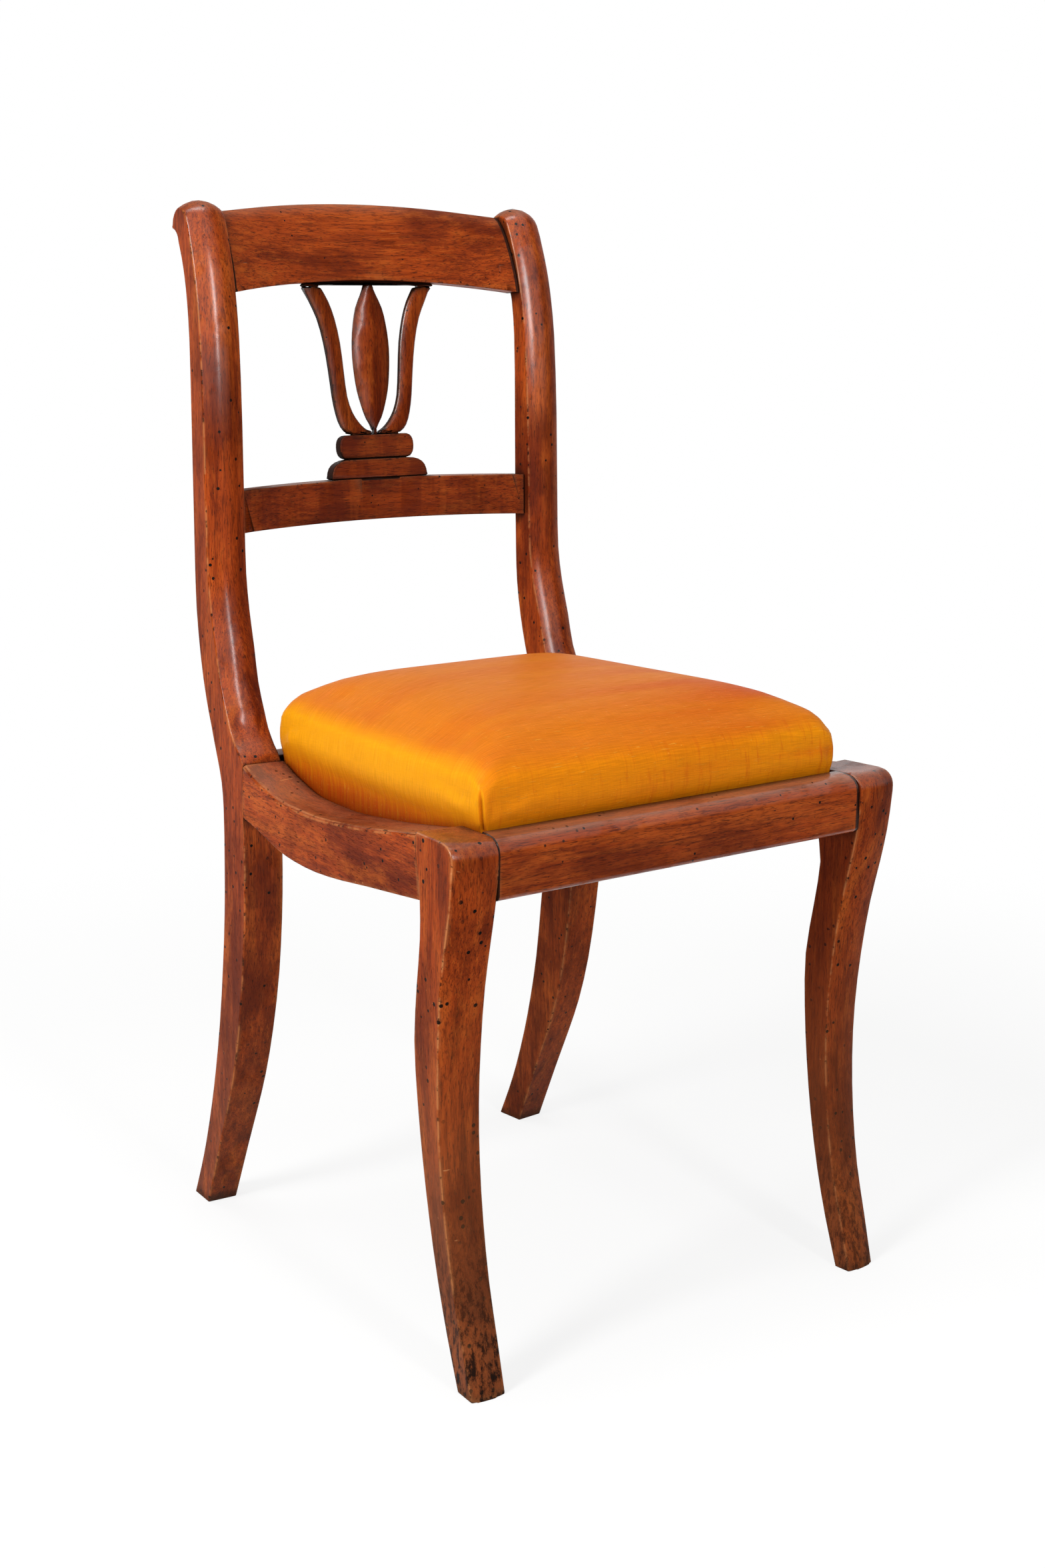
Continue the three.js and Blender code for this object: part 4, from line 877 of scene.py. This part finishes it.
def fold_corner(bm, seat, side, end):
    """Tucks the cloth into an upright fold at one corner, with a short crease above it."""
    way = Vector((side * FOLD_WAY[0], end * FOLD_WAY[1]))
    along_cloth = Vector((-way.y, way.x)) * side * end
    rail_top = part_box("front_seat_rail")[1][2]
    level = rail_top + seat.fold_height / 2
    top = level + seat.fold_height / 2
    place = corner_place(bm, way, level).copy()

    def near(vert):
        return (vert.co.xy - place.xy).length < seat.fold_reach and vert.co.z > level - FOLD_DROP

    for _ in range(2):
        edges = [e for e in bm.edges if all(near(v) for v in e.verts)]
        bmesh.ops.subdivide_edges(bm, edges=edges, cuts=1, use_grid_fill=True)
    bm.normal_update()
    width = seat.fold_width
    for vert in bm.verts:
        offset = vert.co.xy - place.xy
        if offset.length > seat.fold_reach:
            continue
        across = offset.dot(along_cloth) - seat.fold_lean * (top - vert.co.z) + SLIT_PLACE * width
        fade = bounded((top - vert.co.z) / (FADE_HEIGHT * seat.fold_height))
        fade *= fade * (3 - 2 * fade)
        fade *= bounded((vert.co.z - rail_top) / seat.fold_end + 1)
        slit = bell(across / (SLIT_WIDTH * width))
        lap = bell((across - LAP_PLACE * width) / width)
        push = fade * (LAP_DEPTH * lap - slit)
        rise = (vert.co.z - top) / seat.fold_height
        if 0 < rise < CREASE_RISE:
            crease = across - CREASE_SLOPE * seat.fold_height * rise
            push -= CREASE_DEPTH * bell(crease / width) * (1 - rise / CREASE_RISE)
        vert.co.xy += way * push * seat.fold_depth


class CHAIR_OT_stage(Operator):
    """Lays the floor, hangs the lamps and sets the camera"""
    bl_idname = "chair.stage"
    bl_label = "Stage"

    def execute(self, context):
        stage = context.scene.chair_stage
        self.lay_floor(stage)
        self.set_surround(context.scene, stage)
        lamps = (
            ("window_lamp", (-2.6, -0.5, 2.1), (0.7, 1.5), stage.key),
            ("ceiling_lamp", (-0.2, 0.1, 3.0), (0.6, 1.6), stage.top),
            ("front_lamp", (-0.3, -2.85, 1.7), (0.35, 1.5), stage.front),
        )
        for name, place, size, power in lamps:
            self.hang_lamp(name, place, size, power)
        self.set_camera(context.scene, stage)
        context.scene.view_settings.view_transform = "Standard"
        return {"FINISHED"}

    def lay_floor(self, stage):
        """A paper floor, which is pure white to the camera away from the chair."""
        bm = bmesh.new()
        bmesh.ops.create_grid(bm, x_segments=1, y_segments=1, size=60)
        mesh = closed(bm, "floor")
        floor = put_in_scene("floor", mesh)
        m = Finish("floor_paper", {
            "Base Color": linear(stage.floor), "Roughness": 0.8, "Specular IOR Level": 0.0})
        white = m.node("ShaderNodeEmission", {"Color": WHITE, "Strength": 1.0})
        distance = m.node("ShaderNodeVectorMath", {"Vector": m.place}, operation="LENGTH").outputs["Value"]
        far = m.step(distance, *FLOOR_FADE, 0.82, 1.0)
        mix = m.node("ShaderNodeMixShader", {
            "Fac": m.times(m.sight(), far), 1: m.shader.outputs[0], 2: white.outputs[0]})
        m.feed(m.tree.nodes["Material Output"].inputs["Surface"], mix.outputs[0])
        mesh.materials.append(m.material)

    def set_surround(self, scene, stage):
        """White to the camera, and a dimmer light from all round."""
        scene.world = scene.world or bpy.data.worlds.new("studio")
        scene.world.use_nodes = True
        m = Nodes(scene.world.node_tree)
        m.tree.nodes.clear()
        level = m.step(m.sight(), 0, 1, stage.sky, 1)
        light = m.node("ShaderNodeBackground", {"Color": WHITE, "Strength": level})
        m.node("ShaderNodeOutputWorld", {"Surface": light.outputs[0]})

    def hang_lamp(self, name, place, size, power):
        lamp = bpy.data.lights.new(name, "AREA")
        lamp.shape = "RECTANGLE"
        lamp.size, lamp.size_y = size
        lamp.energy = power
        lamp_object = put_in_scene(name, lamp)
        lamp_object.location = place
        aim = Vector(LAMP_AIM) - Vector(place)
        lamp_object.rotation_euler = aim.to_track_quat("-Z", "Y").to_euler()

    def set_camera(self, scene, stage):
        camera = bpy.data.cameras.new("camera")
        camera.lens = stage.lens
        camera.sensor_width = 36
        camera.clip_end = 200
        camera_object = put_in_scene("camera", camera)
        camera_object.location = stage.camera_place
        a, e = stage.azimuth, stage.elevation
        back = Vector((math.sin(a) * math.cos(e), -math.cos(a) * math.cos(e), math.sin(e)))
        camera_object.rotation_euler = (-back).to_track_quat("-Z", "Y").to_euler()
        scene.camera = camera_object


class JoineryOperator:
    """Works a group of wooden pieces from their CAD solids."""
    nodes = ()
    body, slot = CHAIR, "polished_mahogany"

    def execute(self, context):
        wood = context.scene.chair_wood
        for node in self.nodes:
            material = Mahogany(node, wood).made() if node in JOINERY else plain_beech(node, wood)
            joinery(node, wood, material, self.body)
        return {"FINISHED"}


class CHAIR_OT_stiles(JoineryOperator, Operator):
    """Finishes the two scrolled stiles with their sabre rear legs"""
    bl_idname = "chair.stiles"
    bl_label = "Stiles"
    nodes = ("left_stile", "right_stile")


class CHAIR_OT_front_legs(JoineryOperator, Operator):
    """Finishes the two sabre front legs"""
    bl_idname = "chair.front_legs"
    bl_label = "Front legs"
    nodes = ("left_front_leg", "right_front_leg")


class CHAIR_OT_seat_rails(JoineryOperator, Operator):
    """Finishes the front, rear and side rails"""
    bl_idname = "chair.seat_rails"
    bl_label = "Seat rails"
    nodes = ("left_side_rail", "right_side_rail", "front_seat_rail", "rear_seat_rail")


class CHAIR_OT_back_rails(JoineryOperator, Operator):
    """Finishes the crest rail and the mid rail"""
    bl_idname = "chair.back_rails"
    bl_label = "Back rails"
    nodes = ("crest_rail", "mid_back_rail")


class CHAIR_OT_lyre_splat(JoineryOperator, Operator):
    """Finishes the lyre and the blocks and strip that hold it"""
    bl_idname = "chair.lyre_splat"
    bl_label = "Lyre splat"
    nodes = LYRE


class CHAIR_OT_corner_blocks(JoineryOperator, Operator):
    """Finishes the four beech blocks that carry the seat"""
    bl_idname = "chair.corner_blocks"
    bl_label = "Corner blocks"
    nodes, slot = CORNER_BLOCKS, "plain_beech"


class CHAIR_OT_seat_frame(JoineryOperator, Operator):
    """Finishes the four beech rails of the drop-in seat"""
    bl_idname = "chair.seat_frame"
    bl_label = "Seat frame"
    nodes, body, slot = tuple(SEAT_FRAME), SEAT, "plain_beech"


class CHAIR_OT_webbing(Operator):
    """Gives the straps and the base cloth their weave"""
    bl_idname = "chair.webbing"
    bl_label = "Webbing and base cloth"

    def execute(self, context):
        seat = context.scene.chair_seat
        cloths = {"seat_base_cloth": woven("base_cloth_linen", seat.linen, LINEN_THREAD)}
        for way, axis in (("across", "X"), ("along", "Y")):
            jute = woven(f"jute_webbing_{way}", seat.jute, JUTE_THREAD, axis)
            cloths |= {node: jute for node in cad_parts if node.startswith(f"webbing_{way}_")}
        for node, material in cloths.items():
            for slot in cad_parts[node].material_slots:
                slot.material = material
        return {"FINISHED"}


class CHAIR_OT_cushion(Operator):
    """Upholsters the drop-in seat: stuffing, silk cover and the folds at its corners"""
    bl_idname = "chair.cushion"
    bl_label = "Cushion"

    def execute(self, context):
        seat = context.scene.chair_seat
        rail_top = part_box("front_seat_rail")[1][2]
        form = blown_up(cover_form(seat), seat, rail_top, rail_top + FREE_RISE)
        form = evened(form, seat.evening, rail_top + CROWN_RISE)
        fine = self.folded(seat, worked(form, "SUBSURF", levels=1, render_levels=1))
        self.add_cover(seat, fine)
        self.add_stuffing(seat, fine)
        return {"FINISHED"}

    def folded(self, seat, form):
        """The form with an upright fold at each of its corners."""
        bm = opened(form)
        for side in (-1, 1):
            for end in (-1, 1):
                fold_corner(bm, seat, side, end)
        bm.to_mesh(form)
        bm.free()
        return form

    def add_cover(self, seat, form):
        """The silk, turned under the seat's frame and open over the base cloth."""
        bm = opened(form)
        self.lay_weave(bm)
        low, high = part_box("seat_silk_cover")
        hems = (seat.hem + EXTRA_HEM, seat.hem)
        under = [
            f for f in bm.faces
            if f.normal.z < FACING_DOWN and f.calc_center_median().z < low[2] + NEAR
            and all(low[k] + hems[k] < f.calc_center_median()[k] < high[k] - hems[k] for k in (0, 1))
        ]
        bmesh.ops.delete(bm, geom=under, context="FACES")
        for face in bm.faces:
            face.smooth = True
        silk = shot_silk(seat)
        piece = place_piece("silk_cover", bm, SEAT, ["seat_silk_cover"], silk)
        cloth = piece.modifiers.new("Cloth", "SOLIDIFY")
        cloth.thickness = seat.silk_thickness
        cloth.offset = -1

    def lay_weave(self, bm):
        """Keeps where each point lies on the flat cloth, folded down at the sides."""
        layer = bm.verts.layers.float_vector.new("weave")
        bm.normal_update()
        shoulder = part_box("seat_silk_cover")[1][2] - SIDE_DROP
        for vert in bm.verts:
            place, facing = vert.co, vert.normal
            fall = max(0, shoulder - place.z)
            sideways = facing.x ** 2 / max(1e-6, facing.x ** 2 + facing.y ** 2)
            x = place.x + math.copysign(fall * sideways, place.x)
            y = place.y + math.copysign(fall * (1 - sideways), place.y)
            vert[layer] = (x, y, 0)

    def add_stuffing(self, seat, form):
        """The stuffing, just inside the silk and flat underneath."""
        bm = opened(form)
        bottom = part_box("seat_padding")[0][2]
        for vert in bm.verts:
            vert.co -= vert.normal * (seat.silk_thickness + NEAR)
        rim = cut(bm, (0, 0, bottom), (0, 0, -1), clear_outer=True)["geom_cut"]
        rim = [part for part in rim if isinstance(part, bmesh.types.BMEdge)]
        bmesh.ops.holes_fill(bm, edges=rim, sides=0)
        for face in bm.faces:
            face.smooth = face.normal.z > FACING_DOWN
        calico = woven("stuffing_calico", seat.calico, CALICO_THREAD)
        piece = place_piece("stuffing", bm, SEAT, ["seat_padding"], calico)


class CHAIR_PT_sizes(Panel):
    """Sizes, colours and steps of the chair"""
    bl_idname = "CHAIR_PT_sizes"
    bl_label = "Lyre back chair"
    bl_space_type = "VIEW_3D"
    bl_region_type = "UI"
    bl_category = "Chair"

    def draw(self, context):
        for group, kind in SETTINGS.items():
            box = self.layout.box()
            box.label(text=group)
            for name in kind.__annotations__:
                box.prop(getattr(context.scene, group), name)
        for step in STEPS:
            self.layout.operator(step.bl_idname)


SETTINGS = {"chair_wood": WoodSettings, "chair_seat": SeatSettings, "chair_stage": StageSettings}
STEPS = (
    CHAIR_OT_stage, CHAIR_OT_stiles, CHAIR_OT_front_legs, CHAIR_OT_seat_rails, CHAIR_OT_back_rails,
    CHAIR_OT_lyre_splat, CHAIR_OT_corner_blocks, CHAIR_OT_seat_frame, CHAIR_OT_webbing, CHAIR_OT_cushion,
)
CLASSES = (*SETTINGS.values(), *STEPS, CHAIR_PT_sizes)


def register():
    for cls in CLASSES:
        bpy.utils.register_class(cls)
    for name, group in SETTINGS.items():
        setattr(bpy.types.Scene, name, PointerProperty(type=group))


def unregister():
    for name in SETTINGS:
        delattr(bpy.types.Scene, name)
    for cls in reversed(CLASSES):
        bpy.utils.unregister_class(cls)


def main():
    register()
    bpy.ops.chair.stage()
    bpy.ops.chair.stiles()
    bpy.ops.chair.front_legs()
    bpy.ops.chair.seat_rails()
    bpy.ops.chair.back_rails()
    bpy.ops.chair.lyre_splat()
    bpy.ops.chair.corner_blocks()
    bpy.ops.chair.seat_frame()
    bpy.ops.chair.webbing()
    bpy.ops.chair.cushion()


if __name__ == "__main__":
    main()
